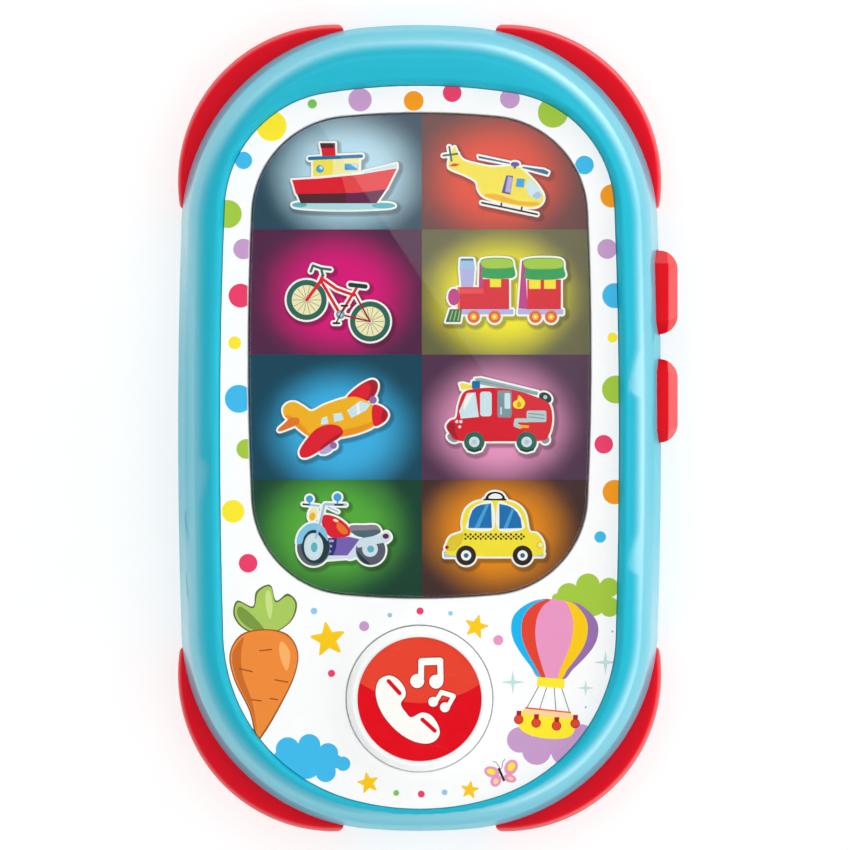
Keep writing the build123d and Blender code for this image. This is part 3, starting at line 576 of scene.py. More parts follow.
def sticker(layers, edge=0.34, shade=0.85, drop=(0.3, -0.35)):
    """A picture on its white backing, with a soft shadow under it."""
    loops = [loop for _, ink_loops in layers for loop in ink_loops]
    far = moved([grown(loop, shade) for loop in loops], *drop)
    near = moved([grown(loop, (edge + shade) / 2) for loop in loops], *drop)
    return [
        ("shadow_soft", far),
        ("shadow_deep", near),
        ("backing", [grown(loop, edge) for loop in loops]),
        *layers,
    ]


# ---------------------------------------------------------------- cutting a sheet by its art

# Faces of a sheet's top lie within a gap in metres, and look up
LEVEL_GAP = 1e-6
FACES_UP = 0.9
# In mm: art kept round the window of a sheet, and points this close become one
WINDOW_MARGIN = 2
CUT_SNAP = 1e-4


def winding(points, loop):
    """How many times a loop goes round each point."""
    total = np.zeros(len(points), int)
    low, high = loop.min(0), loop.max(0)
    near = np.flatnonzero(((points >= low) & (points <= high)).all(1))
    x, y = points[near, 0], points[near, 1]
    count = np.zeros(len(near), int)
    for (ax, ay), (bx, by) in zip(loop, np.roll(loop, -1, 0)):
        side = (bx - ax) * (y - ay) - (x - ax) * (by - ay)
        count += (ay <= y) & (by > y) & (side > 0)
        count -= (ay > y) & (by <= y) & (side < 0)
    total[near] = count
    return total


def rims(node):
    """The loops that bound the top face of a CAD node, in mm, the outer one first."""
    mesh = nodes[node].data
    top = max(v.co.z for v in mesh.vertices)

    def place(i):
        return tuple(round(c / MM, 4) for c in mesh.vertices[i].co[:2])

    def span(loop):
        return (loop.max(0) - loop.min(0)).sum()

    following = {}
    for polygon in mesh.polygons:
        corners = polygon.vertices
        level = all(mesh.vertices[i].co.z > top - LEVEL_GAP for i in corners)
        if level and polygon.normal.z > FACES_UP:
            for a, b in zip(corners, [*corners[1:], corners[0]]):
                a, b = place(a), place(b)
                if following.get(b) and a in following[b]:
                    following[b].remove(a)
                else:
                    following.setdefault(a, []).append(b)
    loops = []
    while any(following.values()):
        start = next(p for p, ends in following.items() if ends)
        loop, here = [], start
        while following.get(here):
            loop.append(here)
            here = following[here].pop()
        loops.append(np.array(loop))
    return sorted(loops, key=span, reverse=True)


def sheet(name, node, layers, inks, lift, thickness, window=None):
    """Printed sheet in the outline of a CAD node, cut into areas of ink, each with its material."""
    outer, *holes = rims(node)
    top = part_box(node)[1].z
    every = [outer, *holes, *(loop for _, loops in layers for loop in loops)]
    if window is not None:
        every.append(window)
        low, high = window.min(0) - WINDOW_MARGIN, window.max(0) + WINDOW_MARGIN
        every = [loop for loop in every if (loop.max(0) > low).all() and (loop.min(0) < high).all()]
    points, edges = [], []
    for loop in every:
        first = len(points)
        points += [Vector(p) for p in loop]
        edges += [(first + i, first + (i + 1) % len(loop)) for i in range(len(loop))]
    found = delaunay_2d_cdt(points, edges, [], 0, CUT_SNAP, False)
    corners = np.array([tuple(p) for p in found[0]])
    faces = np.array([face for face in found[2] if len(face) == 3])
    middles = corners[faces].mean(1)
    inside = winding(middles, counterclockwise(outer)) > 0
    for hole in holes:
        inside &= winding(middles, counterclockwise(hole)) == 0
    if window is not None:
        inside &= winding(middles, window) > 0
    faces, middles = faces[inside], middles[inside]
    chosen = np.zeros(len(faces), int)
    for index, (_, loops) in enumerate(layers):
        for loop in loops:
            chosen[winding(middles, loop) > 0] = index
    used = sorted(set(faces.ravel()))
    renumbered = {old: new for new, old in enumerate(used)}
    verts = [(corners[i][0] * MM, corners[i][1] * MM, top + lift * MM) for i in used]
    mesh = bpy.data.meshes.new(name)
    mesh.from_pydata(verts, [], [[renumbered[i] for i in face] for face in faces])
    slots = []
    for polygon, layer in zip(mesh.polygons, chosen):
        ink_name = layers[layer][0]
        if ink_name not in slots:
            slots.append(ink_name)
            mesh.materials.append(inks[ink_name])
        polygon.material_index = slots.index(ink_name)
    piece = linked(name, mesh)
    solid = piece.modifiers.new("thickness", "SOLIDIFY")
    solid.thickness = thickness * MM
    solid.offset = -1
    return piece


# ---------------------------------------------------------------- inks

# Size of the dots that the ink is printed in, in mm
SCREEN_DOT = 0.16


def ink(name, code, rough=(0.35, 0.45)):
    """Printing ink: faint screen dots and mottling, satin."""
    look = Look("ink_" + name, Specular_IOR_Level=0.15)
    base = rgb(code)
    dots = look.ranged(look.cells(SCREEN_DOT), 0, 1, 0.2, 0.5)
    fine = look.mixed(dots, scaled(base, 0.97), scaled(base, 1.02))
    look.colour(look.mixed(look.ranged(look.noise(2.5, 4), 0, 0.5), fine, scaled(base, 0.93)))
    look.rough(look.noise(1.5, 4), *rough)
    look.bump(look.noise(0.3, 2), 0.0015)
    return look.material


INK_CODES = {
    "paper": "#fcfdfd",
    "yellow": "#ffe92b",
    "blue": "#3bb9ea",
    "light_blue": "#93c9ec",
    "lime": "#a3c93d",
    "purple": "#c79bcb",
    "crimson": "#ec3b68",
    "orange": "#f79a0e",
    "green": "#7cc255",
    "gold": "#fbc900",
    "pink": "#ea97c2",
    "violet": "#966eac",
    "cyan": "#0cb5ee",
    "tomato": "#e4402a",
    "mint": "#bfe0dd",
    "teal_dot": "#9ac4cc",
    "black": "#141214",
    "peach": "#ffd59a",
    "carrot": "#ef8a34",
    "carrot_shade": "#cf6a22",
    "carrot_light": "#f8b066",
    "leaf": "#a9ca5c",
    "leaf_shade": "#78993f",
    "leaf_light": "#c8e086",
    "stem_line": "#55682f",
    "carrot_line": "#9c4a17",
    "backing": "#fbfbf6",
    "red": "#e8112b",
    "red_light": "#f0454a",
    "red_dark": "#b00f28",
    "maroon": "#551d2b",
    "plum": "#6b1e4e",
    "roof_blue": "#1277ad",
    "cabin": "#fde84a",
    "cabin_light": "#fdf3a8",
    "glass": "#d5ecf2",
    "window_blue": "#3aa7e4",
    "sea": "#5fb9c8",
    "sea_light": "#b5e2ea",
    "rotor": "#2c6b8f",
    "indigo": "#5a4ea5",
    "lilac": "#b6aee0",
    "amber": "#fbb914",
    "tyre_green": "#2b6a5a",
    "tyre_dark": "#123a3a",
    "cream": "#f7efc0",
    "spoke": "#8d8a60",
    "magenta": "#c43a8c",
    "lavender": "#b9b8e6",
    "steel_blue": "#a9c8ea",
    "roof_lime": "#a9cf3e",
    "roof_green": "#22a455",
    "wheel_orange": "#f07a22",
    "fire_red": "#e2162c",
    "slate": "#7f9ea6",
    "slate_light": "#bcd2d3",
    "ladder": "#9db8b8",
    "engine": "#7a63b8",
    "navy": "#2b2f7c",
    "seat": "#8f8692",
    "seat_dark": "#4d6b77",
    "chrome": "#d9e6f0",
    "fender": "#86cdf0",
    "tyre_grey": "#5b5f70",
    "taxi": "#ffe934",
    "taxi_shade": "#e9cd2c",
    "taxi_window": "#0f74b8",
    "taxi_glint": "#49a6dc",
    "tyre_black": "#2a1a18",
}
INKS = {name: ink(name, code) for name, code in INK_CODES.items()}


# ---------------------------------------------------------------- the panel's sheet

DOTS = {
    "yellow": [(-25.4, 51.8, 2.6), (33.1, 15.5, 0.85), (-31.7, 14.6, 1.1), (-32.0, -14.3, 1.95)],
    "green": [(-18.4, 55.6, 0.8), (-4.0, -62.6, 0.5)],
    "purple": [
        (-10.2, 56.3, 2.0), (15.5, 56.5, 1.7), (32.2, 30.7, 1.7), (-30.2, 30.7, 1.75),
        (-9.5, -34.0, 0.86),
    ],
    "orange": [(-1.0, 56.1, 1.7), (33.0, 39.8, 2.0), (33.5, -11.0, 2.1)],
    "crimson": [
        (5.6, 57.5, 1.6), (31.6, -2.8, 1.6), (-30.7, 22.7, 2.05), (-29.4, -23.2, 1.6),
        (0.1, -31.4, 0.62), (-15.1, -42.1, 0.62), (0.3, -62.8, 0.6),
    ],
    "lime": [(22.9, 54.1, 2.6), (33.7, 6.6, 2.4), (-32.9, 36.7, 2.4), (-29.7, -3.6, 1.7)],
    "blue": [
        (28.3, 45.1, 1.6), (33.5, 22.7, 2.15), (31.0, -18.7, 1.0), (-30.2, 45.9, 1.5),
        (-31.0, 5.0, 2.4),
    ],
    "light_blue": [(-18.1, -31.4, 0.57), (5.3, -31.8, 0.4), (4.3, -62.5, 0.5)],
    "teal_dot": [(-5.1, -32.1, 0.4), (33.1, -34.9, 0.2), (28.5, -47.9, 0.2)],
    "pink": [(13.5, -36.4, 0.86)],
}
STARS = [
    (-15.7, -36.3, 3.1, 8), (9.7, -34.1, 2.1, -14), (-8.8, -60.9, 1.9, 12), (8.6, -62.1, 1.6, -8)
]
SPARKLES = [(16.0, -43.6, 2.1), (31.9, -40.2, 2.1), (28.5, -44.6, 1.5)]
BLUE_CLOUD = [
    (-22.6, -55.1, 2.05), (-18.9, -54.4, 1.9), (-15.7, -55.8, 1.75), (-13.1, -57.6, 1.25),
    (-16.1, -59.0, 1.75), (-19.4, -57.6, 2.6), (-22.6, -57.2, 2.6), (-16.8, -56.9, 2.1),
    (-14.4, -57.2, 1.2),
]
GREEN_CLOUD = [
    (25.6, -28.6, 2.0), (28.9, -27.0, 2.05), (32.5, -27.4, 1.7), (32.6, -30.7, 1.7),
    (29.6, -29.6, 2.7), (23.5, -29.2, 0.8),
]
PURPLE_CLOUD = [
    (17.2, -53.5, 2.2), (20.1, -55.3, 2.5), (25.4, -55.2, 2.9), (27.7, -52.8, 2.0),
    (22.3, -53.4, 2.6)
]


def balloon():
    """Hot-air balloon with five gores, a collar, four ropes and a basket."""
    crown, neck = np.array((23.6, -29.3)), np.array((22.5, -43.0))
    widths = [
        (0.0, 0.0), (0.02, 2.6), (0.1, 5.2), (0.24, 7.1), (0.4, 7.5), (0.56, 6.9), (0.72, 5.4),
        (0.87, 3.6), (1, 2.1)
    ]
    across = np.array((0.995, -0.08))

    def gore(share):
        """The envelope from its left edge to a meridian."""
        left = [crown + (neck - crown) * t - across * w for t, w in widths]
        right = [crown + (neck - crown) * t + across * w * share for t, w in widths]
        return soft(*[tuple(p) for p in left[1:]], *[tuple(p) for p in right[:0:-1]])

    gores = (("violet", 1.0), ("gold", 0.76), ("pink", 0.42), ("tomato", -0.44), ("cyan", -0.76))
    layers = [(name, gore(share)) for name, share in gores]
    ropes = (
        ((20.4, -44.4), (18.4, -48.0)), ((21.8, -44.5), (20.6, -48.2)),
        ((23.1, -44.6), (23.4, -48.5)), ((24.4, -44.7), (25.7, -48.7)),
    )
    bags, sacks = ((17.0, -50.0), (20.0, -50.6), (23.5, -51.1), (26.7, -50.7)), []
    for x, y in bags:
        sacks += disc(x, y, 0.82)
        sacks += shape((x - 0.35, y + 1.5), (x + 0.5, y + 1.5), (x + 0.4, y), (x - 0.4, y))
    return layers + [
        ("yellow", shape((20.2, -42.7), (24.9, -43.1), (24.8, -44.7), (20.1, -44.3))),
        ("black", bars(0.13, *ropes)),
        ("yellow", soft(
            (18.3, -48.0), (22, -48.4), (25.7, -48.8), (26.7, -50.5), (26.4, -52.3), (25.0, -53.2),
            (22.0, -53.3), (19.0, -52.7), (17.2, -51.5), (17.2, -49.8),
        )),
        ("peach", shape((18.2, -48.1), (25.8, -48.9), (26.3, -49.9), (17.6, -49.1))),
        ("tomato", bar(0.24, (18.2, -48.0), (25.9, -48.8))),
        ("red_dark", sacks),
        ("tomato", discs([(x, y, 0.68) for x, y in bags])),
    ]


def carrot():
    """A plain carrot with a tuft of leaves."""
    return [
        ("stem_line", soft(
            (-26.2, -35.6), (-30.0, -34.6), (-31.9, -32.2), (-31.3, -29.6), (-28.6, -30.6),
            (-28.0, -28.0), (-25.6, -26.9), (-24.6, -29.6), (-22.6, -28.4), (-21.0, -30.2),
            (-22.2, -33.4)
        )),
        ("leaf", soft(
            (-26.2, -35.4), (-29.8, -34.4), (-31.6, -32.2), (-31.1, -29.9), (-28.5, -30.9),
            (-27.7, -28.2), (-25.6, -27.2), (-24.7, -29.9), (-22.6, -28.8), (-21.3, -30.3),
            (-22.4, -33.3)
        )),
        ("leaf_shade", soft(
            (-26.4, -35.0), (-29.4, -34.2), (-31.2, -32.2), (-30.9, -30.6), (-28.8, -32.0)
        )),
        ("leaf_light", soft(
            (-26.4, -28.4), (-25.7, -28.0), (-25.2, -30.4), (-25.6, -32.8), (-26.3, -31.0)
        )),
        ("carrot_line", soft(
            (-26.5, -34.5), (-22.6, -35.4), (-20.8, -38.6), (-21.5, -42.8), (-23.9, -47.8),
            (-26.6, -52.4), (-28.0, -53.4), (-29.2, -48.6), (-31.8, -43.2), (-32.6, -38.8),
            (-30.6, -35.4)
        )),
        ("carrot", soft(
            (-26.5, -34.7), (-22.8, -35.6), (-21.0, -38.6), (-21.7, -42.7), (-24.1, -47.6),
            (-26.7, -52.0), (-27.8, -52.8), (-29.0, -48.4), (-31.6, -43.1), (-32.4, -38.8),
            (-30.4, -35.6)
        )),
        ("carrot_shade", soft(
            (-30.2, -35.9), (-32.1, -38.8), (-31.4, -43.0), (-28.9, -48.3), (-27.9, -52.0),
            (-28.7, -47.0), (-30.3, -42.4), (-30.6, -38.6)
        )),
        ("carrot_light", soft(
            (-23.6, -36.6), (-22.2, -38.6), (-22.7, -41.6), (-23.7, -40.0), (-24.1, -37.8)
        )),
        ("carrot_line", bars(
            0.22, ((-30.9, -41.3), (-28.7, -41.8)), ((-22.6, -43.6), (-24.8, -43.2)),
            ((-28.9, -46.6), (-27.2, -46.8)), ((-24.4, -46.6), (-25.6, -46.4)),
            ((-27.4, -38.2), (-25.4, -38.0))
        )),
    ]


def butterfly(x, y):
    """Pink butterfly with yellow wing spots."""
    return [
        ("black", bars(
            0.1, ((x - 0.2, y + 0.9), (x - 0.9, y + 2.0), (x - 1.5, y + 2.2)),
            ((x, y + 0.9), (x + 0.2, y + 2.2), (x + 0.6, y + 2.6))
        )),
        (
            "pink", oval(x - 1.7, y + 0.4, 1.35, 0.95, -15) + oval(x + 1.6, y + 1.2, 1.1, 1.4, -30)
            + oval(x - 1.0, y - 1.1, 0.9, 1.1, -30) + oval(x + 1.4, y - 0.7, 1.15, 0.7, -15)
        ),
        (
            "yellow",
            oval(x - 1.8, y + 0.45, 0.75, 0.48, -15) + oval(x + 1.65, y + 1.3, 0.55, 0.8, -30)
        ),
        ("peach", oval(x - 1.0, y - 1.2, 0.4, 0.5, -30) + oval(x + 1.5, y - 0.7, 0.5, 0.28, -15)),
        ("black", bar(0.42, (x - 0.45, y + 0.9), (x + 0.35, y - 1.0))),
    ]


def panel_art():
    layers = [("paper", [])]
    layers += [(name, discs(items)) for name, items in DOTS.items()]
    layers.append(("gold", [loop for item in STARS for loop in star(*item)]))
    layers.append(("mint", [loop for item in SPARKLES for loop in sparkle(*item)]))
    layers.append(("blue", discs(BLUE_CLOUD)))
    layers.append(("lime", discs(GREEN_CLOUD)))
    layers.append(("purple", discs(PURPLE_CLOUD)))
    return layers + balloon() + carrot() + butterfly(14.1, -59.4)


# ---------------------------------------------------------------- the eight pictures of the screen

SPOKES = 14


def ship():
    return [
        ("sea_light", oval(-13.0, 38.1, 8.8, 0.62)),
        ("sea", oval(-20.6, 38.35, 1.3, 0.42) + oval(-6.2, 38.2, 2.0, 0.5)),
        ("maroon", shape((-21.1, 40.3), (-10.6, 40.5), (-5.7, 41.1), (-7.4, 38.6), (-20.4, 38.6))),
        ("plum", shape((-12.6, 40.5), (-5.7, 41.1), (-7.4, 38.6), (-12.6, 38.6))),
        ("red", shape(
            (-21.9, 42.6), (-16.7, 42.9), (-10.6, 43.5), (-3.9, 44.6), (-5.7, 41.0), (-10.6, 40.4),
            (-21.2, 40.2)
        )),
        ("red_light", shape(
            (-13.4, 43.2), (-10.6, 43.5), (-3.9, 44.6), (-5.7, 41.0), (-10.6, 40.4), (-12.6, 40.35)
        )),
        ("glass", shape((-9.7, 44.0), (-3.9, 45.4), (-3.9, 44.7), (-9.7, 43.75))),
        ("cabin", shape((-18.3, 46.1), (-10.3, 46.5), (-10.4, 44.0), (-18.3, 43.2))),
        ("cabin_light", shape((-14.9, 46.2), (-10.3, 46.5), (-10.4, 44.0), (-14.9, 43.5))),
        ("roof_blue", bar(0.6, (-18.9, 46.3), (-10.0, 46.7))),
        ("red", shape((-16.9, 48.1), (-14.5, 48.1), (-14.4, 46.8), (-16.7, 46.7))),
        ("maroon", shape((-17.1, 48.95), (-14.5, 48.95), (-14.5, 48.1), (-16.95, 48.1))),
        ("window_blue", disc(-17.1, 44.5, 0.68) + box(-12.85, 44.3, -10.6, 45.4, 0.1)),
        ("glass", disc(-16.9, 44.7, 0.3) + shape((-11.9, 45.35), (-10.65, 45.35), (-10.65, 44.5))),
    ]


def helicopter():
    return [
        (
            "black", bar(0.32, (10.7, 38.7), (20.2, 36.7))
            + bars(0.3, ((14.1, 38.6), (14.0, 38.0)), ((17.6, 38.0), (17.5, 37.3)))
        ),
        ("cabin", soft(
            (5.0, 45.0), (5.3, 46.9), (6.0, 48.3), (6.6, 47.0), (7.7, 45.9), (9.8, 45.3),
            (12.6, 44.8), (15.7, 45.0), (17.2, 44.7), (18.9, 43.2), (20.4, 41.5), (21.3, 39.8),
            (20.9, 38.5), (19.4, 37.9), (16.0, 38.3), (12.5, 39.2), (10.9, 39.9), (10.1, 41.0),
            (9.7, 42.4), (7.8, 43.5), (5.6, 44.4),
        )),
        ("amber", soft(
            (11.0, 40.0), (12.6, 39.35), (16.0, 38.5), (19.3, 38.1), (20.6, 38.7), (17.0, 39.0),
            (13.0, 40.2)
        )),
        ("glass", soft(
            (18.7, 42.8), (20.4, 41.3), (21.0, 39.9), (20.4, 39.3), (18.8, 40.0), (18.3, 41.4)
        )),
        ("steel_blue", soft((20.3, 40.6), (20.95, 39.9), (20.4, 39.4), (19.4, 39.8))),
        ("tomato", shape((5.0, 45.0), (5.9, 45.5), (7.0, 45.3), (6.1, 44.9))),
        ("indigo", shape((14.9, 43.4), (16.1, 43.3), (15.6, 40.1), (14.1, 40.4))),
        ("lilac", shape((15.2, 43.2), (16.0, 43.1), (15.6, 40.4), (14.7, 40.6))),
        ("window_blue", shape((16.75, 42.9), (18.1, 42.8), (17.9, 41.3), (16.5, 41.45))),
        (
            "rotor", shape((10.1, 46.75), (10.2, 46.35), (15.5, 45.35), (15.5, 45.6))
            + shape((17.7, 44.9), (17.7, 44.65), (22.0, 43.5), (22.2, 44.0), (21.4, 44.4))
        ),
        ("tyre_green", bars(0.34, ((5.1, 48.3), (5.5, 45.9)), ((4.1, 46.8), (6.5, 47.1)))),
        ("indigo", oval(16.4, 45.3, 0.75, 0.42) + bar(0.4, (16.4, 45.2), (16.35, 44.7))),
    ]


def wheel_with_spokes(x, y, r):
    ways = np.arange(SPOKES) * pi / (SPOKES / 2)
    reach = 0.7 * r
    return [
        ("tyre_green", disc(x, y, r)),
        ("cream", disc(x, y, 0.74 * r)),
        ("spoke", bars(0.09, *(((x, y), (x + reach * cos(a), y + reach * sin(a))) for a in ways))),
        ("chrome", disc(x, y, 0.1 * r)),
    ]


def bicycle():
    front, rear, crank, seat_top = (-19.4, 22.0), (-8.5, 18.3), (-13.6, 19.5), (-10.6, 24.4)
    head_low, head_high = (-17.1, 25.1), (-16.6, 26.2)
    return [
        *wheel_with_spokes(*front, 3.45),
        *wheel_with_spokes(*rear, 3.45),
        ("red_dark", bars(0.3, (crank, rear), ((-11.1, 23.0), rear))),
        (
            "red", bar(0.55, front, head_low, head_high)
            + bars(0.5, ((-16.7, 25.6), (-14.3, 23.9), (-11.3, 22.8)), ((-16.9, 25.2), crank))
            + bar(0.46, seat_top, crank)
        ),
        ("tyre_green", bars(
            0.42, ((-16.6, 26.2), (-16.9, 27.4), (-18.3, 27.9), (-18.7, 26.9)),
            ((-16.9, 27.4), (-15.3, 27.2))
        )),
        ("tyre_dark", bar(0.75, (-11.9, 24.6), (-9.3, 24.3))),
        ("slate", disc(*crank, 0.75)),
        ("chrome", disc(*crank, 0.35)),
        (
            "black", bar(0.22, (-14.3, 18.1), (-12.9, 20.9))
            + bars(0.34, ((-14.8, 18.0), (-13.8, 18.0)), ((-13.4, 21.0), (-12.4, 21.0)))
        ),
    ]


def wheels(xs, y, r, *rings):
    """Wheels in a row. Each ring is an ink and its share of the radius."""
    return [(ink_name, disc(x, y, share * r)) for x in xs for ink_name, share in rings]


def train():
    rings = (("wheel_orange", 1), ("red", 0.72), ("amber", 0.58), ("cabin_light", 0.24))
    return [
        ("lavender", box(7.2, 19.5, 16.1, 20.4) + box(16.9, 19.5, 24.7, 20.4)),
        ("tyre_green", shape((5.2, 20.4), (7.3, 20.4), (7.0, 18.2), (4.5, 18.2))),
        ("roof_lime", bars(
            0.2, ((5.7, 20.1), (5.2, 18.5)), ((6.3, 20.1), (5.9, 18.5)), ((6.9, 20.1), (6.6, 18.5))
        )),
        ("steel_blue", shape(
            (7.0, 29.0), (9.3, 29.0), (9.5, 27.6), (9.2, 24.0), (7.2, 24.0), (6.9, 27.5)
        )),
        ("lavender", shape((7.1, 27.3), (9.4, 27.3), (9.2, 24.0), (7.2, 24.0))),
        ("roof_blue", box(7.1, 28.75, 9.2, 29.1, 0.1)),
        (
            "fire_red", box(6.7, 20.4, 15.4, 24.2, 0.2)
            + shape((10.2, 25.6), (15.4, 25.6), (15.4, 20.4), (10.2, 20.4))
        ),
        ("red_light", shape((7.0, 23.95), (11.0, 23.95), (11.0, 23.1), (7.0, 23.1))),
        ("wheel_orange", shape((6.5, 24.2), (6.9, 24.2), (6.9, 20.4), (6.5, 20.4))),
        (
            "magenta", oval(5.9, 22.5, 1.0, 1.45)
            + shape((10.3, 28.4), (10.8, 28.2), (10.9, 24.2), (10.2, 24.2))
        ),
        ("magenta", shape((17.6, 28.8), (18.1, 28.6), (18.6, 20.4), (17.0, 20.5))),
        ("fire_red", shape((18.5, 25.5), (24.3, 25.5), (24.3, 20.4), (18.5, 20.4))),
        (
            "yellow", box(12.1, 24.2, 14.0, 25.9, 0.12) + box(18.8, 23.9, 20.8, 25.7, 0.12)
            + box(21.4, 23.9, 23.4, 25.7, 0.12)
        ),
        ("roof_green", soft(
            (10.8, 29.0), (15.4, 29.1), (16.2, 27.6), (16.0, 25.8), (11.0, 25.8), (10.8, 27.2)
        )),
        ("roof_green", soft(
            (18.2, 29.0), (24.0, 29.1), (24.8, 27.4), (24.5, 25.7), (18.5, 25.6), (18.2, 27.2)
        )),
        ("roof_lime", soft((11.0, 28.9), (15.3, 29.0), (16.0, 27.7), (13.5, 27.4), (11.0, 27.6))),
        ("roof_lime", soft((18.4, 28.9), (23.9, 29.0), (24.5, 27.6), (21.5, 27.3), (18.4, 27.5))),
        *wheels((9.3, 12.9, 19.9, 22.6), 19.1, 1.08, *rings),
    ]


def plane():
    return [
        ("red_dark", soft(
            (-12.5, 5.2), (-10.6, 7.1), (-8.3, 8.3), (-7.2, 7.7), (-7.4, 6.1), (-8.6, 4.7),
            (-10.7, 4.9)
        )),
        ("red", soft((-12.3, 5.2), (-10.6, 6.9), (-8.9, 7.8), (-8.4, 6.4), (-9.4, 4.9))),
        ("violet", disc(-8.0, 4.8, 0.65)),
        ("amber", soft(
            (-23.4, 3.4), (-22.5, 4.3), (-21.3, 4.4), (-20.0, 3.7), (-18.5, 2.9), (-16.2, 4.0),
            (-12.9, 5.1), (-10.8, 5.3), (-8.2, 4.1), (-7.7, 2.2), (-7.8, 0.4), (-10.2, -0.8),
            (-13.5, -1.6), (-16.2, -1.9), (-18.8, -1.5), (-20.6, -0.3), (-22.1, 1.1), (-23.2, 2.1),
        )),
        ("orange", soft(
            (-13.5, -1.5), (-10.2, -0.7), (-8.0, 0.4), (-8.0, 1.1), (-10.4, 0.3), (-13.6, -0.5)
        )),
        ("orange", soft(
            (-23.2, 2.1), (-22.1, 1.1), (-20.6, -0.3), (-18.8, -1.4), (-20.0, 0.3), (-22.0, 2.0)
        )),
        ("red", soft(
            (-8.0, 3.9), (-6.8, 3.8), (-5.7, 3.0), (-5.4, 2.1), (-6.1, 1.0), (-7.7, 0.3),
            (-8.2, 2.0)
        )),
        ("red_dark", soft((-6.2, 3.3), (-5.7, 2.9), (-5.5, 2.1), (-6.1, 1.1), (-6.6, 1.6))),
        ("wheel_orange", soft(
            (-21.3, 1.8), (-20.6, 1.4), (-21.0, 0.6), (-22.8, -0.2), (-24.1, -0.6), (-24.2, -0.1),
            (-23.2, 0.8), (-22.4, 1.6)
        )),
        ("lilac", oval(-16.0, -3.7, 1.3, 0.65, 25)),
        ("violet", disc(-14.8, -3.0, 0.6)),
        ("red", soft(
            (-15.6, 0.6), (-13.8, 0.3), (-13.1, -0.7), (-13.8, -1.7), (-15.3, -2.7), (-17.1, -3.9),
            (-19.1, -5.0), (-20.3, -5.0), (-20.6, -3.9), (-19.5, -2.1), (-17.8, -0.2),
        )),
        ("red_dark", soft(
            (-13.3, -0.8), (-13.9, -1.6), (-15.4, -2.6), (-17.1, -3.8), (-16.6, -2.9), (-14.8, -1.6)
        )),
        (
            "glass", shape((-16.8, 1.7), (-15.9, 2.05), (-15.65, 0.75), (-17.0, 0.55))
            + shape((-14.8, 2.4), (-13.4, 2.65), (-13.0, 1.4), (-14.7, 1.0))
            + shape((-12.5, 3.0), (-10.2, 4.7), (-8.4, 4.1), (-9.2, 3.0), (-11.7, 1.7))
        ),
        ("backing", shape((-10.9, 4.1), (-10.4, 4.5), (-10.2, 2.5), (-10.7, 2.2))),
    ]


def fire_engine():
    rings = (("tyre_green", 1), ("chrome", 0.52), ("slate_light", 0.24))
    return [
        ("ladder", shape((9.5, 8.5), (10.6, 8.6), (20.4, 6.2), (20.2, 5.6), (9.9, 7.6))),
        ("slate", bar(0.16, (10.2, 8.1), (20.2, 5.9))),
        ("tyre_dark", oval(21.6, 5.2, 1.15, 0.85, -30)),
        ("slate_light", disc(21.6, 5.3, 0.35)),
        ("cabin", shape((6.9, 7.6), (7.5, 7.7), (9.0, 7.3), (9.0, 6.8), (7.2, 6.6))),
        ("roof_blue", box(9.0, 6.7, 10.4, 8.1, 0.3)),
        ("slate", oval(5.7, -1.7, 1.0, 0.65, -30) + oval(21.6, -2.0, 0.7, 0.7)),
        ("fire_red", soft(
            (4.6, 0.3), (5.3, 1.3), (6.3, 1.8), (6.7, 4.0), (7.7, 6.2), (10.1, 6.8), (13.0, 6.9),
            (15.8, 6.6), (18.8, 5.8), (21.7, 4.6), (22.6, 3.4), (22.8, 1.1), (22.2, -1.2),
            (20.9, -2.2), (14.0, -2.3), (6.7, -2.2), (5.2, -1.0),
        )),
        ("red_dark", soft(
            (4.8, 0.3), (5.4, 1.0), (6.0, 0.6), (6.2, -0.8), (6.7, -2.0), (5.4, -1.0)
        )),
        (
            "glass", shape((8.15, 6.0), (9.6, 6.1), (10.2, 1.9), (7.1, 1.6), (6.8, 2.9))
            + box(10.4, 2.0, 12.4, 6.25, 0.5)
        ),
        ("backing", shape((7.6, 4.6), (8.6, 5.9), (9.3, 5.9), (7.6, 2.9))),
        ("slate", box(13.4, 1.8, 15.8, 6.4, 0.3)),
        ("glass", box(14.6, 3.3, 15.6, 6.0, 0.2)),
        ("chrome", bar(0.28, (14.0, 2.4), (14.0, 3.5))),
        ("yellow", soft(
            (17.1, 5.6), (18.1, 4.5), (17.8, 3.5), (17.0, 3.3), (16.2, 3.6), (16.1, 4.4),
            (16.8, 4.9)
        )),
        ("orange", soft((17.1, 4.6), (17.5, 3.9), (17.1, 3.5), (16.7, 3.9))),
        (
            "slate_light", bar(0.7, (18.6, 1.3), (16.6, 1.3), (16.5, 0.5), (17.3, 0.2))
            + box(18.4, 1.0, 21.8, 3.0, 0.35)
        ),
        ("slate", bars(0.18, ((18.8, 2.5), (21.4, 2.2)), ((18.8, 1.9), (21.4, 1.6)))),
        ("amber", bar(0.45, (17.3, 0.3), (18.6, 0.2))),
        ("chrome", disc(6.4, 1.1, 0.28) + disc(7.1, 1.1, 0.28) + disc(6.9, 0.2, 0.25)),
        *wheels((9.4, 18.4), -2.4, 1.75, *rings),
        ("tyre_dark", bars(
            0.35, ((8.4, -3.7), (9.4, -4.0), (10.5, -3.7)),
            ((17.4, -3.7), (18.4, -4.0), (19.5, -3.7))
        )),
    ]


